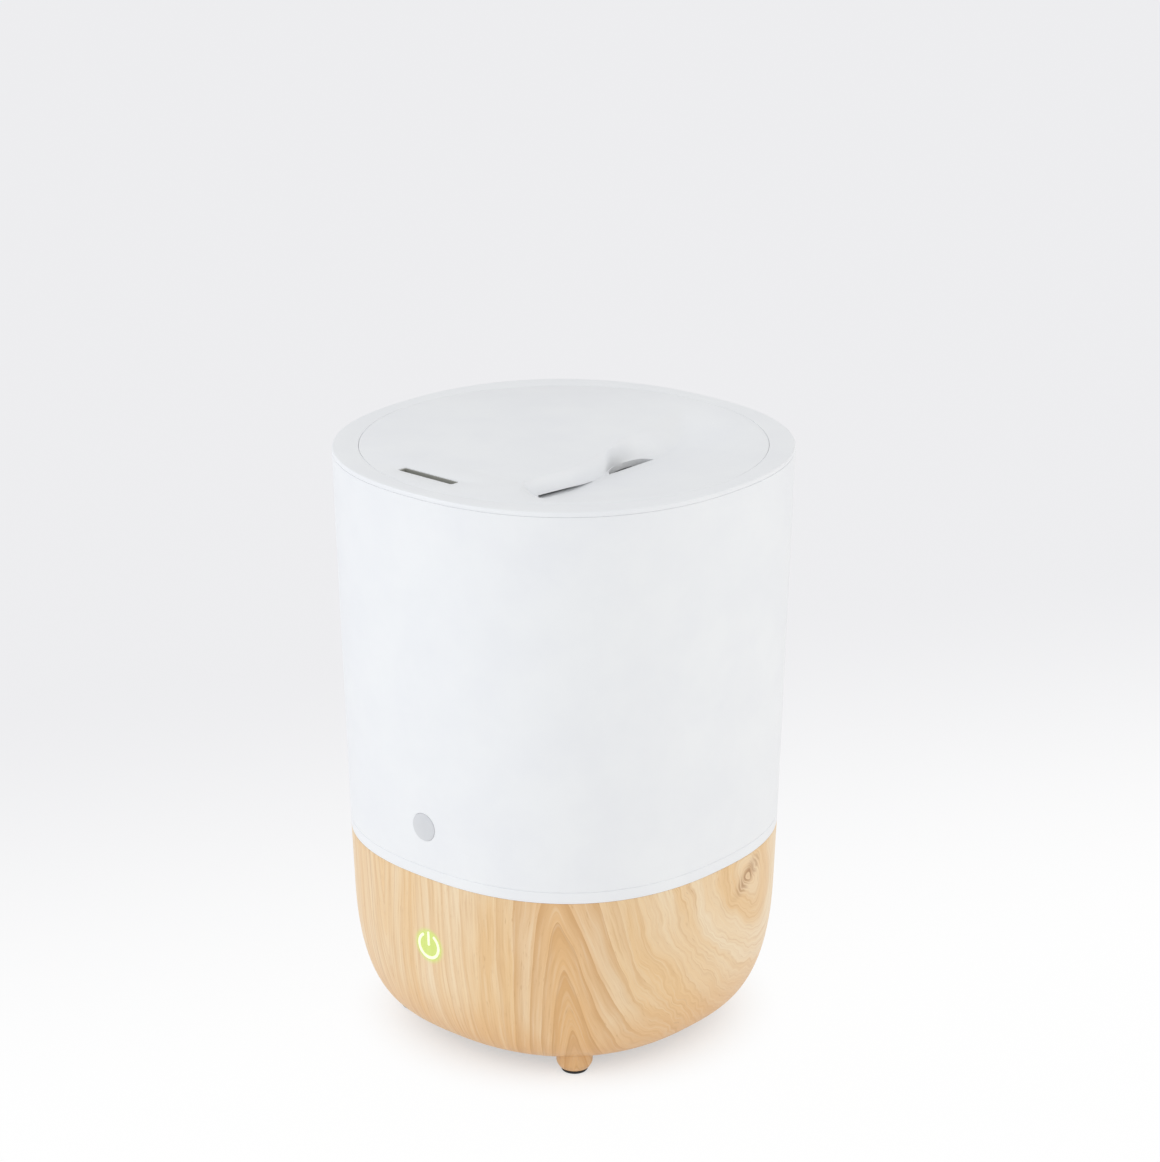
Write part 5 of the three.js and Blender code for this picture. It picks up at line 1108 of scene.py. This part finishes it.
class HUMIDIFIER_OT_deck(bpy.types.Operator):
    """Model the deck that carries the tank: rim, basin, air chimney, posts and bosses"""

    bl_idname = "humidifier.deck"
    bl_label = "Deck"

    def execute(self, context):
        edge, seam = sizes().edge, sizes().seam
        land, set_back = sizes().land, sizes().set_back
        plate = RING_BOTTOM + 2.5 * MM
        skirt = RING_BOTTOM - 6 * MM
        w = half_width

        rim, top, low = w(RING_BOTTOM), w(RING_TOP), w(skirt)
        basin = BASIN_HALF_WIDTH + 2.3 * MM
        corners = [
            (20 * MM, BASIN_UNDERSIDE, 0), (basin, BASIN_UNDERSIDE, 4 * MM),
            (basin, RING_BOTTOM, 1 * MM), (rim - 4.7 * MM, RING_BOTTOM, 0),
            (low - 4.7 * MM, skirt, 0), (low - 2.9 * MM, skirt, 0),
            (rim - 2.9 * MM, RING_BOTTOM, 0), (rim - 2 * MM, RING_BOTTOM, 0),
            (rim - 2 * MM, RING_BOTTOM - land, 0), (rim - set_back, RING_BOTTOM - land, 0),
            (rim - set_back, RING_BOTTOM, 0), (rim, RING_BOTTOM, 0.5 * seam),
            (top, RING_TOP, seam), (top - set_back, RING_TOP, 0),
            (top - set_back, RING_TOP + land, 0), (top - 2 * MM, RING_TOP + land, 0),
            (top - 2 * MM, RING_TOP, 0), (top - 5 * MM, RING_TOP, edge),
            (w(plate) - 5 * MM, plate, edge), (BASIN_HALF_WIDTH, plate, 1.2 * MM),
            (BASIN_HALF_WIDTH, BASIN_FLOOR, 3 * MM), (20 * MM, BASIN_FLOOR, 0),
        ]
        deck = turned("deck", rounded(corners), sizes().outline, capped=True)
        square_off(deck)
        fuse(deck, self.standing())
        carve(deck, self.cutters())
        finish_piece(deck, "moulded_deck", "base", "base_deck", "white_plastic")
        return {"FINISHED"}

    def standing(self):
        chimney_top = TANK_FLOOR_BOTTOM - 3 * MM
        x, y = CHIMNEY
        half_x, half_y = 9.3 * MM, 8.8 * MM
        chimney = block("chimney", (x - half_x, y - half_y, BASIN_UNDERSIDE),
                        (x + half_x, y + half_y, chimney_top))
        select_edges(chimney, lambda a, b: abs(a.z - b.z) > 1 * MM or min(a.z, b.z) > BASIN_FLOOR)
        bevel_selected(0.8 * MM, 3)
        tools = [chimney]
        post_top = BASIN_FLOOR + 19.7 * MM
        tools.append(drum("post", 3 * MM, BASIN_FLOOR - MM, post_top, LEVEL_FLOAT, 0.6 * MM))
        tools += [drum("boss", 3.2 * MM, BASIN_FLOOR - MM, BASIN_FLOOR + 3.6 * MM, place, 0.6 * MM)
                  for place in HOLDER_SCREWS]
        for side in (-1, 1):
            y = PIVOT[1] + side * 4.5 * MM
            tools.append(block("cheek", (PIVOT[0] - 4.5 * MM, y - MM, BASIN_FLOOR - MM),
                               (PIVOT[0] + 4.5 * MM, y + MM, PIVOT[2] + 3.5 * MM), 0.6 * MM))
        return tools + [drum("column", 4.2 * MM, 13.6 * MM, BASIN_FLOOR - 0.5 * MM, place)
                        for place in FEET]

    def cutters(self):
        x, y = CHIMNEY
        bore = block("bore", (x - 7.5 * MM, y - 7 * MM, BASIN_UNDERSIDE - MM),
                     (x + 7.5 * MM, y + 7 * MM, TANK_FLOOR_BOTTOM), 0.8 * MM)
        well = drum("well", 10 * MM, BASIN_UNDERSIDE - MM, BASIN_FLOOR + MM, TRANSDUCER, 0)
        tools = [bore, well, lay(drum("pin_hole", 1.75 * MM, -10 * MM, 10 * MM, ease=0,
                                      segments=24), PIVOT)]
        tools += [drum("hole", SCREW_HOLE, BASIN_UNDERSIDE - MM, BASIN_FLOOR + 2.6 * MM, place,
                       0, 24) for place in HOLDER_SCREWS]
        return tools + [drum("hole", SCREW_HOLE, 12 * MM, 29.6 * MM, place, 0, 24)
                        for place in FEET]


class HUMIDIFIER_OT_floats(bpy.types.Operator):
    """Model the level float, its clip, and the valve's float and lever"""

    bl_idname = "humidifier.floats"
    bl_label = "Floats and lever"

    def execute(self, context):
        low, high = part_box("level_float")
        level = tube("float", 10.5 * MM, 3.5 * MM, low.z, high.z, LEVEL_FLOAT, 1.2 * MM)
        finish_piece(level, "ring_float", "float", "level_float", "float_foam")
        low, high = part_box("float_clip")
        clip = tube("clip", 5.5 * MM, 3.3 * MM, low.z, high.z, LEVEL_FLOAT, 0.4 * MM)
        slot = block("split", (LEVEL_FLOAT[0] + 2 * MM, LEVEL_FLOAT[1] - 0.8 * MM, low.z - MM),
                     (LEVEL_FLOAT[0] + 8 * MM, LEVEL_FLOAT[1] + 0.8 * MM, high.z + MM))
        carve(clip, [slot])
        finish_piece(clip, "split_float_clip", "base", "float_clip", "white_plastic")
        low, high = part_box("lever_float")
        place = ((low.x + high.x) / 2, (low.y + high.y) / 2)
        puck = drum("puck", 13 * MM, low.z, high.z, place, 1.6 * MM, 64)
        finish_piece(puck, "lever_float_puck", "lever", "lever_float", "float_foam")
        self.lever(place, high.z)
        pin = lay(drum("pin", 1.5 * MM, -5.5 * MM, 5.5 * MM, segments=32), PIVOT)
        finish_piece(pin, "lever_hinge_pin", "base", "lever_pin", "screw_steel")
        return {"FINISHED"}

    def lever(self, float_place, float_top):
        x, y, z = PIVOT
        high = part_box("float_lever")[1]
        arm = block("arm", (x - 18 * MM, y - 3 * MM, z - 1.5 * MM),
                    (x + 32 * MM, y + 3 * MM, z + 1.5 * MM), 0.5 * MM)
        hub = lay(drum("hub", 3.4 * MM, -3 * MM, 3 * MM), PIVOT)
        pusher = drum("pusher", 1.7 * MM, z - MM, high.z, (x - 18 * MM, y), 0.4 * MM, 32)
        stalk = drum("stalk", 1.7 * MM, float_top + 0.3 * MM, z + MM, float_place, 0.3 * MM, 32)
        fuse(arm, [hub])
        fuse(arm, [pusher, stalk])
        carve(arm, [lay(drum("bore", 1.75 * MM, -8 * MM, 8 * MM, ease=0, segments=24), PIVOT)])
        finish_piece(arm, "moulded_float_lever", "lever", "float_lever", "white_plastic")


# ---- Tank --------------------------------------------------------------------------------------


class HUMIDIFIER_OT_tank_wall(bpy.types.Operator):
    """Model the tank's wall and the blank badge on its front"""

    bl_idname = "humidifier.tank_wall"
    bl_label = "Tank wall and badge"

    def execute(self, context):
        seam = sizes().seam
        w = half_width
        ledge = TANK_BOTTOM + 1.9 * MM
        outside = levels(TANK_BOTTOM + 2 * MM, WIDEST_LEVEL, 0, 10)
        inside = levels(ledge + MM, TANK_TOP - MM, 2.4 * MM, 6)[::-1]
        profile = [(w(TANK_BOTTOM) - seam, TANK_BOTTOM),
                   (w(TANK_BOTTOM), TANK_BOTTOM + seam), *outside,
                   (w(TANK_TOP), TANK_TOP - seam), (w(TANK_TOP) - seam, TANK_TOP),
                   (w(TANK_TOP) - 2.2 * MM, TANK_TOP), *inside,
                   (w(ledge) - 2.4 * MM, ledge), (w(ledge) - 4.6 * MM, ledge),
                   (w(TANK_BOTTOM) - 4.6 * MM, TANK_BOTTOM)]
        wall = turned("wall", profile, sizes().outline)
        square_off(wall)
        matrix = wall_frame(BADGE_LEVEL)
        carve(wall, [place_on(drum("seat", 6.3 * MM, -0.7 * MM, MM, ease=0, segments=96), matrix)])
        finish_piece(wall, "tank_shell", "tank", "tank_wall", "white_plastic")
        badge = drum("badge", 6.2 * MM, -0.5 * MM, 0.25 * MM, ease=0.2 * MM, segments=96)
        place_on(badge, matrix)
        finish_piece(badge, "blank_badge", "tank", "badge_disc", "grey_plastic")
        return {"FINISHED"}


class HUMIDIFIER_OT_tank_floor(bpy.types.Operator):
    """Model the tank's floor with the mist tube's socket and the valve's neck"""

    bl_idname = "humidifier.tank_floor"
    bl_label = "Tank floor"

    def execute(self, context):
        w = half_width
        inset = 2.7 * MM
        skirt_bottom = TANK_FLOOR_BOTTOM - 7 * MM
        skirt = BASIN_HALF_WIDTH - 2 * MM
        corners = [
            (20 * MM, TANK_FLOOR_BOTTOM, 0), (skirt - 1.8 * MM, TANK_FLOOR_BOTTOM, 0.8 * MM),
            (skirt - 1.8 * MM, skirt_bottom, 0.4 * MM), (skirt, skirt_bottom, 0.4 * MM),
            (skirt, TANK_FLOOR_BOTTOM, 0.8 * MM),
            (w(TANK_FLOOR_BOTTOM) - inset, TANK_FLOOR_BOTTOM, 0.3 * MM),
            (w(TANK_FLOOR_TOP) - inset, TANK_FLOOR_TOP, 0.3 * MM), (20 * MM, TANK_FLOOR_TOP, 0),
        ]
        floor = turned("floor", rounded(corners), sizes().outline, capped=True)
        square_off(floor)
        socket = self.mist_ring(3.3 * MM, TANK_FLOOR_BOTTOM + MM, TANK_FLOOR_TOP + 4 * MM, 0.5 * MM)
        neck = drum("neck", 9 * MM, TANK_FLOOR_BOTTOM - 5 * MM, TANK_FLOOR_TOP - MM, VALVE,
                    0.5 * MM)
        fuse(floor, [socket, neck])
        carve(floor, [self.mist_ring(1.9 * MM, TANK_FLOOR_TOP, TANK_FLOOR_TOP + 6 * MM, 0)])
        carve(floor, [
            self.mist_ring(0, TANK_FLOOR_BOTTOM - 9 * MM, TANK_FLOOR_TOP + 7 * MM, 0),
            drum("valve_hole", 7 * MM, TANK_FLOOR_BOTTOM - 9 * MM, TANK_FLOOR_TOP + 2 * MM, VALVE,
                 0),
        ])
        finish_piece(floor, "tank_base_plate", "tank", "tank_floor", "white_plastic")
        return {"FINISHED"}

    def mist_ring(self, grow, bottom, top, ease):
        """A solid with the mist funnel's oval outline."""
        radius = 10 * MM
        part = drum("oval", radius, bottom, top, ease=ease, segments=96)
        for vertex in part.data.vertices:
            x, y = vertex.co.x / radius, vertex.co.y / radius
            vertex.co.x = TRANSDUCER[0] + x * (MIST_MOUTH[0] + grow)
            vertex.co.y = TRANSDUCER[1] + MM + y * (MIST_MOUTH[1] + grow)
        return part


def tube_outline(angle, grow, share):
    """A point of the mist tube's section: an oval at its mouth, a slot with round ends above."""
    cosine, sine = math.cos(angle), math.sin(angle)
    mouth = Vector((TRANSDUCER[0] + (MIST_MOUTH[0] + grow) * cosine,
                    TRANSDUCER[1] + MM + (MIST_MOUTH[1] + grow) * sine))
    radius = 4.6 * MM + grow
    side = max(min(cosine * 3, 1), -1)
    slot = Vector((MIST_SLOT["x"] + side * 12.9 * MM + radius * cosine,
                   MIST_SLOT["y"] + radius * sine))
    return mouth.lerp(slot, smooth(share))


class HUMIDIFIER_OT_mist_tube(bpy.types.Operator):
    """Model the funnel and tube that lead the mist up to the lid"""

    bl_idname = "humidifier.mist_tube"
    bl_label = "Mist tube"

    def execute(self, context):
        bottom, top = TANK_FLOOR_TOP + 0.3 * MM, TOP - 12.4 * MM
        funnel = TANK_FLOOR_TOP + 4.3 * MM
        rise = 38 * MM  # over which the oval becomes a slot
        heights = [bottom] + [funnel + rise * i / 16 for i in range(17)] + [top]
        outer, inner = 10 * MM, 8.4 * MM
        profile = [(inner, z) for z in reversed(heights)] + [(outer, z) for z in heights]
        body = turned("tube", profile, 96)
        for vertex in body.data.vertices:
            x, y, z = vertex.co
            grow = math.hypot(x, y) - inner
            spot = tube_outline(math.atan2(y, x), grow, (z - funnel) / rise)
            vertex.co = (spot.x, spot.y, z)
        select_edges(body, lambda a, b: min(a.z, b.z) > top - 1e-5 or max(a.z, b.z) < bottom + 1e-5)
        bevel_selected(0.4 * MM, 2, clamp_overlap=True)
        finish_piece(body, "mist_funnel_tube", "tank", "mist_tube", "white_plastic")
        return {"FINISHED"}


class HUMIDIFIER_OT_collar(bpy.types.Operator):
    """Model the collar that caps the tank and holds the lid"""

    bl_idname = "humidifier.collar"
    bl_label = "Top collar"

    def execute(self, context):
        seam, land, set_back = sizes().seam, sizes().land, sizes().set_back
        mouth = LID_RADIUS + 0.14 * MM
        bore = LID_RADIUS + 0.35 * MM
        low = TOP - 10 * MM
        outer = bore + 2.2 * MM
        w = half_width(RIM_BOTTOM)
        spigot = RIM_BOTTOM - 5 * MM
        corners = [
            (w, TOP, 0.8 * MM), (mouth, TOP, 1.2 * seam), (mouth, TOP - 0.9 * MM, 0),
            (bore, TOP - 1.4 * MM, 0), (bore, low + 2 * MM, 0.2 * MM),
            (bore - 4.2 * MM, low + 2 * MM, 0.4 * MM), (bore - 4.2 * MM, low, 0.4 * MM),
            (outer, low, 0.6 * MM), (outer, RIM_BOTTOM, 0),
            (half_width(spigot) - 4.3 * MM, RIM_BOTTOM, 0),
            (half_width(spigot) - 4.3 * MM, spigot, 0.3 * MM),
            (half_width(spigot) - 2.7 * MM, spigot, 0.3 * MM),
            (w - 2.7 * MM, RIM_BOTTOM, 0), (w - 2 * MM, RIM_BOTTOM, 0),
            (w - 2 * MM, RIM_BOTTOM - land, 0), (w - set_back, RIM_BOTTOM - land, 0),
            (w - set_back, RIM_BOTTOM, 0), (w, RIM_BOTTOM, 0.5 * seam),
        ]
        collar = turned("collar", rounded(corners, 5), sizes().outline)
        square_off(collar, outer + 0.3 * MM)
        finish_piece(collar, "lid_collar", "tank", "top_collar", "white_plastic")
        return {"FINISHED"}


class HUMIDIFIER_OT_valve(bpy.types.Operator):
    """Model the tank's outlet valve: stem, seal, cage and spring"""

    bl_idname = "humidifier.valve"
    bl_label = "Tank valve"

    def execute(self, context):
        low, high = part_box("valve_stem")
        seal_low, seal_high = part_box("valve_seal")
        flange = seal_high.z + 0.3 * MM
        corners = [(1 * MM, low.z, 0), (2 * MM, low.z, 0.5 * MM), (2 * MM, flange, 0),
                   (7.5 * MM, flange, 0.3 * MM), (7.5 * MM, flange + 1.4 * MM, 0.3 * MM),
                   (2 * MM, flange + 1.4 * MM, 0), (2 * MM, high.z, 0.6 * MM), (1 * MM, high.z, 0)]
        stem = turned("stem", rounded(corners, 3), 48, capped=True, place=VALVE)
        finish_piece(stem, "valve_plunger", "valve", "valve_stem", "white_plastic")
        seal = tube("seal", 9 * MM, 2.3 * MM, seal_low.z, seal_high.z, VALVE, 0.6 * MM)
        finish_piece(seal, "valve_seal_disc", "valve", "valve_seal", "silicone")
        self.cage()
        self.spring()
        return {"FINISHED"}

    def cage(self):
        low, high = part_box("valve_cage")
        roof = tube("roof", 13.5 * MM, 2.3 * MM, high.z - 2 * MM, high.z, VALVE, 0.5 * MM)
        half = 1.5 * MM
        fuse(roof, [block("leg", (x - half, y - half, low.z), (x + half, y + half, high.z - MM),
                          0.4 * MM) for x, y in round_circle(12 * MM, 3, 30, VALVE)])
        finish_piece(roof, "valve_guide_cage", "tank", "valve_cage", "white_plastic")

    def spring(self):
        """A wire's section carried up a screw line."""
        low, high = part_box("valve_spring")
        wire, turns = 0.55 * MM, 5
        coil = start_from("circle", "coil", vertices=12, radius=wire, fill_type="NGON")
        lay(coil, (4.4 * MM, 0, low.z + wire))
        modifier = coil.modifiers.new("screw", "SCREW")
        modifier.axis = "Z"
        modifier.screw_offset = (high.z - low.z - 2 * wire) / turns
        modifier.iterations = turns
        modifier.steps = modifier.render_steps = 32
        modifier.use_merge_vertices = False
        bpy.ops.object.modifier_apply(modifier=modifier.name)
        edit()
        weld()
        move(coil, (*VALVE, 0))
        finish_piece(coil, "valve_return_spring", "tank", "valve_spring", "spring_steel")
        coil.parent = None
        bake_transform(coil)


# ---- Lid ---------------------------------------------------------------------------------------


def hollow_depth(share):
    """The valley's depth at a share of its run from front to back."""
    return sizes().hollow_depth * smooth(share / FRONT_FALL) * smooth((1 - share) / BACK_RISE)


def hollow_row(share, wall):
    """One line of the hollow's surface from its crest over the valley to the rim. A wall above 0
    gives the tray's underside."""
    depth = hollow_depth(share)
    offset = Vector((-wall, 0))
    valley = spline_at(VALLEY, share) + offset
    foot = spline_at(FOOT, share) + offset
    crest = spline_at(CREST, share) + offset
    angle = HOLLOW_RIM_START + (HOLLOW_RIM_END - HOLLOW_RIM_START) * share
    rim = Vector((math.cos(angle), math.sin(angle))) * HOLLOW_RIM_RADIUS
    top = TOP - wall
    lip = 0.0 if wall else 1 - smooth((share - LIP_END) / 0.05)
    roll = 0.0 if wall else 1 - smooth((share - LIP_END + 0.11) / 0.12)
    ease = sizes().lip_round * roll * smooth(share / 0.06)
    crest = crest + (crest - foot).normalized() * ease
    line = []
    steps = 9 if wall else 18
    for k in range(steps):
        t = k / steps * math.pi / 2
        run = lip * math.sin(t) + (1 - lip) * k / steps
        scoop = math.sin(math.pi / 2 * (k / steps) ** SCOOP_POWER) ** 2
        fall = lip * (1 - math.cos(t)) + (1 - lip) * scoop
        line.append((crest.lerp(foot, run), top - depth * fall))
    for k in range(3):
        line.append((foot.lerp(valley, k / 3), top - depth))
    steps = 14 if wall else 26
    for k in range(steps + 1):
        s = k / steps
        line.append((valley.lerp(rim, s), top - depth * (1 - s) ** 1.25))
    return line


def shares(rows):
    """Shares of the hollow's run, closer together where it falls and where its lip ends."""
    out = []
    for start, end, part in ((0, 0.12, 0.2), (0.12, 0.42, 0.25), (0.42, 0.58, 0.25),
                             (0.58, 1, 0.3)):
        steps = round(rows * part)
        out += [start + (end - start) * i / steps for i in range(steps)]
    return out + [1.0]


def lattice(name, layout):
    """A grid of faces through a table of points."""
    rows, columns = len(layout), len(layout[0])
    grid = start_from("grid", name, x_subdivisions=columns - 1, y_subdivisions=rows - 1, size=2)
    for vertex in grid.data.vertices:
        column = round((vertex.co.x + 1) / 2 * (columns - 1))
        row = round((vertex.co.y + 1) / 2 * (rows - 1))
        spot, z = layout[row][column]
        vertex.co = (spot.x, spot.y, z)
    return grid


def draw_slot(obj):
    """Parts a turned body's quarters, so that its corners become the mist slot's, at its place."""
    grow = (MIST_SLOT["length"] / 2 - MIST_SLOT["corner"],
            MIST_SLOT["width"] / 2 - MIST_SLOT["corner"])
    for vertex in obj.data.vertices:
        for axis in (0, 1):
            if abs(vertex.co[axis]) > 1e-7:
                vertex.co[axis] += math.copysign(grow[axis], vertex.co[axis])
    return move(obj, (MIST_SLOT["x"], MIST_SLOT["y"], 0))


def fill_flat(obj, z):
    """Fills the flat face between all open edges that lie at a height."""
    mesh = obj.data
    uses = {}
    for face in mesh.polygons:
        for key in face.edge_keys:
            uses[key] = uses.get(key, 0) + 1
    for vertex in mesh.vertices:
        vertex.select = False
    for face in mesh.polygons:
        face.select = False
    for edge in mesh.edges:
        flat = all(abs(mesh.vertices[i].co.z - z) < 1e-6 for i in edge.vertices)
        edge.select = flat and uses.get(tuple(sorted(edge.vertices)), 0) == 1
    only(obj)
    edit("EDGE")
    bpy.ops.mesh.fill(use_beauty=True)
    leave_edit()


class HUMIDIFIER_OT_lid(bpy.types.Operator):
    """Model the lid: flush disc, pour hollow with its lip and fill slot, and mist slot"""

    bl_idname = "humidifier.lid"
    bl_label = "Lid"

    def execute(self, context):
        edge = 1.5 * sizes().seam
        wall = 2.6 * MM
        under = TOP - wall
        r = LID_RADIUS
        rim = [(r - edge, TOP), (r - 0.62 * edge, TOP - 0.08 * edge),
               (r - 0.3 * edge, TOP - 0.3 * edge), (r - 0.08 * edge, TOP - 0.62 * edge),
               (r, TOP - edge), (r, LID_BOTTOM + 0.3 * MM), (r - 0.3 * MM, LID_BOTTOM),
               (r - 1.9 * MM, LID_BOTTOM), (r - 2.2 * MM, LID_BOTTOM + 0.3 * MM),
               (r - 2.2 * MM, under)]
        skirt = open_turned("skirt", rim, 256)
        corner = MIST_SLOT["corner"]
        slot_wall = [(corner + edge, TOP), (corner + 0.3 * edge, TOP - 0.3 * edge),
                     (corner, TOP - edge), (corner, under)]
        slot = draw_slot(open_turned("slot", slot_wall, 64))
        top = lattice("top", [hollow_row(share, 0) for share in shares(120)])
        bottom = lattice("bottom", [hollow_row(share, wall) for share in shares(60)])
        lid = merge([skirt, slot, top, bottom])
        fill_flat(lid, TOP)
        fill_flat(lid, under)
        edit()
        weld()
        carve(lid, [self.fill_slot()])
        carve(lid, [self.drain_slit()])
        finish_piece(lid, "flush_lid", "lid", "lid", "white_plastic", angle=38)
        return {"FINISHED"}

    def fill_slot(self):
        """The upright cutter of the crescent slot that drains the hollow into the tank."""
        steps = 30
        points = [spline_at(FILL_SLOT_EDGE, i / steps) for i in range(steps + 1)]
        bottom, top = TOP - 15 * MM, TOP - 6 * MM
        cutter = start_from("circle", "fill_slot", vertices=len(points), radius=1,
                            fill_type="NGON")
        for vertex, point in zip(cutter.data.vertices, points):
            vertex.co = (point.x, point.y, bottom)
        edit("FACE")
        raise_solid(top - bottom)
        return cutter

    def drain_slit(self):
        """The cutter of the slit at the lip's foot: a strip that follows the foot."""
        steps = 36
        rows = []
        heights = []
        height = sizes().slit
        start, thins, end = SLIT_RUN
        for i in range(steps + 1):
            share = start + (end - start) * i / steps
            foot, valley = spline_at(FOOT, share), spline_at(VALLEY, share)
            away = (spline_at(CREST, share) - foot).normalized()
            level = TOP - hollow_depth(share) - 0.05 * MM
            rows.append([(foot + away * 5 * MM, level), (valley - away * 0.25 * MM, level)])
            heights.append(height * (1 - 0.8 * smooth((share - thins) / (end - thins))))
        strip = lattice("slit", rows)
        edit("FACE")
        raise_solid(height)
        # The cutter's roof comes down towards the back, which thins the slit out there.
        for vertex in strip.data.vertices:
            row = min(range(steps + 1), key=lambda i: min(
                (vertex.co.xy - point).length for point, _ in rows[i]))
            floor = rows[row][0][1]
            if vertex.co.z > floor + height / 2:
                vertex.co.z = floor + heights[row]
        return strip


class HUMIDIFIER_OT_nozzle(bpy.types.Operator):
    """Model the mist nozzle under the lid's slot, whose thin upper end lines the slot"""

    bl_idname = "humidifier.nozzle"
    bl_label = "Mist nozzle"

    def execute(self, context):
        low, top = (corner.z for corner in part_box("mist_nozzle"))
        corner = MIST_SLOT["corner"]
        flange = TOP - 2.9 * MM
        liner, bore = corner - 0.05 * MM, corner - 0.45 * MM
        sleeve, wide = corner + 1.5 * MM, corner + 3.5 * MM
        corners = [
            (liner, flange, 0), (liner, top, 0.1 * MM), (bore, top, 0.15 * MM),
            (bore, flange - 0.8 * MM, 0.3 * MM), (corner, flange - 2.4 * MM, 0.4 * MM),
            (corner, low, 0.4 * MM), (sleeve, low, 0.4 * MM), (sleeve, flange - 1.2 * MM, 0),
            (wide, flange - 1.2 * MM, 0.3 * MM), (wide, flange, 0.2 * MM),
        ]
        nozzle = draw_slot(turned("nozzle", rounded(corners, 3), 64))
        # The sleeve's grey finish is partly painted shade of the deep mist slot.
        finish_piece(nozzle, "mist_outlet_sleeve", "lid", "mist_nozzle", "smoke_plastic")
        return {"FINISHED"}


# ---- Pieces that keep their shape -------------------------------------------------------------


class HUMIDIFIER_OT_inner_parts(bpy.types.Operator):
    """Give the pieces inside the base, which keep their shape, their finishes"""

    bl_idname = "humidifier.inner_parts"
    bl_label = "Inner parts"

    def execute(self, context):
        slots = {part["node"]: part["material_slot"] for part in frame["record"]["subparts"]}
        for name, obj in frame["nodes"].items():
            if obj.hide_render:
                continue
            obj.data.materials.clear()
            obj.data.materials.append(finish_of(slots[name]))
        return {"FINISHED"}


# ---- Panel and registration --------------------------------------------------------------------

OPERATORS = [
    HUMIDIFIER_OT_stage, HUMIDIFIER_OT_base_bowl, HUMIDIFIER_OT_power_symbol,
    HUMIDIFIER_OT_foot_pads, HUMIDIFIER_OT_screws, HUMIDIFIER_OT_bottom_plate,
    HUMIDIFIER_OT_jack, HUMIDIFIER_OT_deck, HUMIDIFIER_OT_floats, HUMIDIFIER_OT_tank_wall,
    HUMIDIFIER_OT_tank_floor, HUMIDIFIER_OT_mist_tube, HUMIDIFIER_OT_collar,
    HUMIDIFIER_OT_valve, HUMIDIFIER_OT_lid, HUMIDIFIER_OT_nozzle, HUMIDIFIER_OT_inner_parts,
]


class HUMIDIFIER_PT_pieces(bpy.types.Panel):
    """Lists the steps that model and finish the humidifier"""

    bl_label = "Humidifier"
    bl_idname = "HUMIDIFIER_PT_pieces"
    bl_space_type = "VIEW_3D"
    bl_region_type = "UI"
    bl_category = "Humidifier"

    def draw(self, context):
        for group in (context.scene.humidifier_sizes, context.scene.humidifier_light):
            for name in group.__annotations__:
                self.layout.prop(group, name)
        for operator in OPERATORS:
            self.layout.operator(operator.bl_idname)


CLASSES = [HumidifierSizes, HumidifierLight, *OPERATORS, HUMIDIFIER_PT_pieces]


def register():
    for cls in CLASSES:
        bpy.utils.register_class(cls)
    bpy.types.Scene.humidifier_sizes = bpy.props.PointerProperty(type=HumidifierSizes)
    bpy.types.Scene.humidifier_light = bpy.props.PointerProperty(type=HumidifierLight)


def unregister():
    del bpy.types.Scene.humidifier_light
    del bpy.types.Scene.humidifier_sizes
    for cls in reversed(CLASSES):
        bpy.utils.unregister_class(cls)


def main():
    register()
    for operator in OPERATORS:
        group, name = operator.bl_idname.split(".")
        getattr(getattr(bpy.ops, group), name)()


if __name__ == "__main__":
    main()
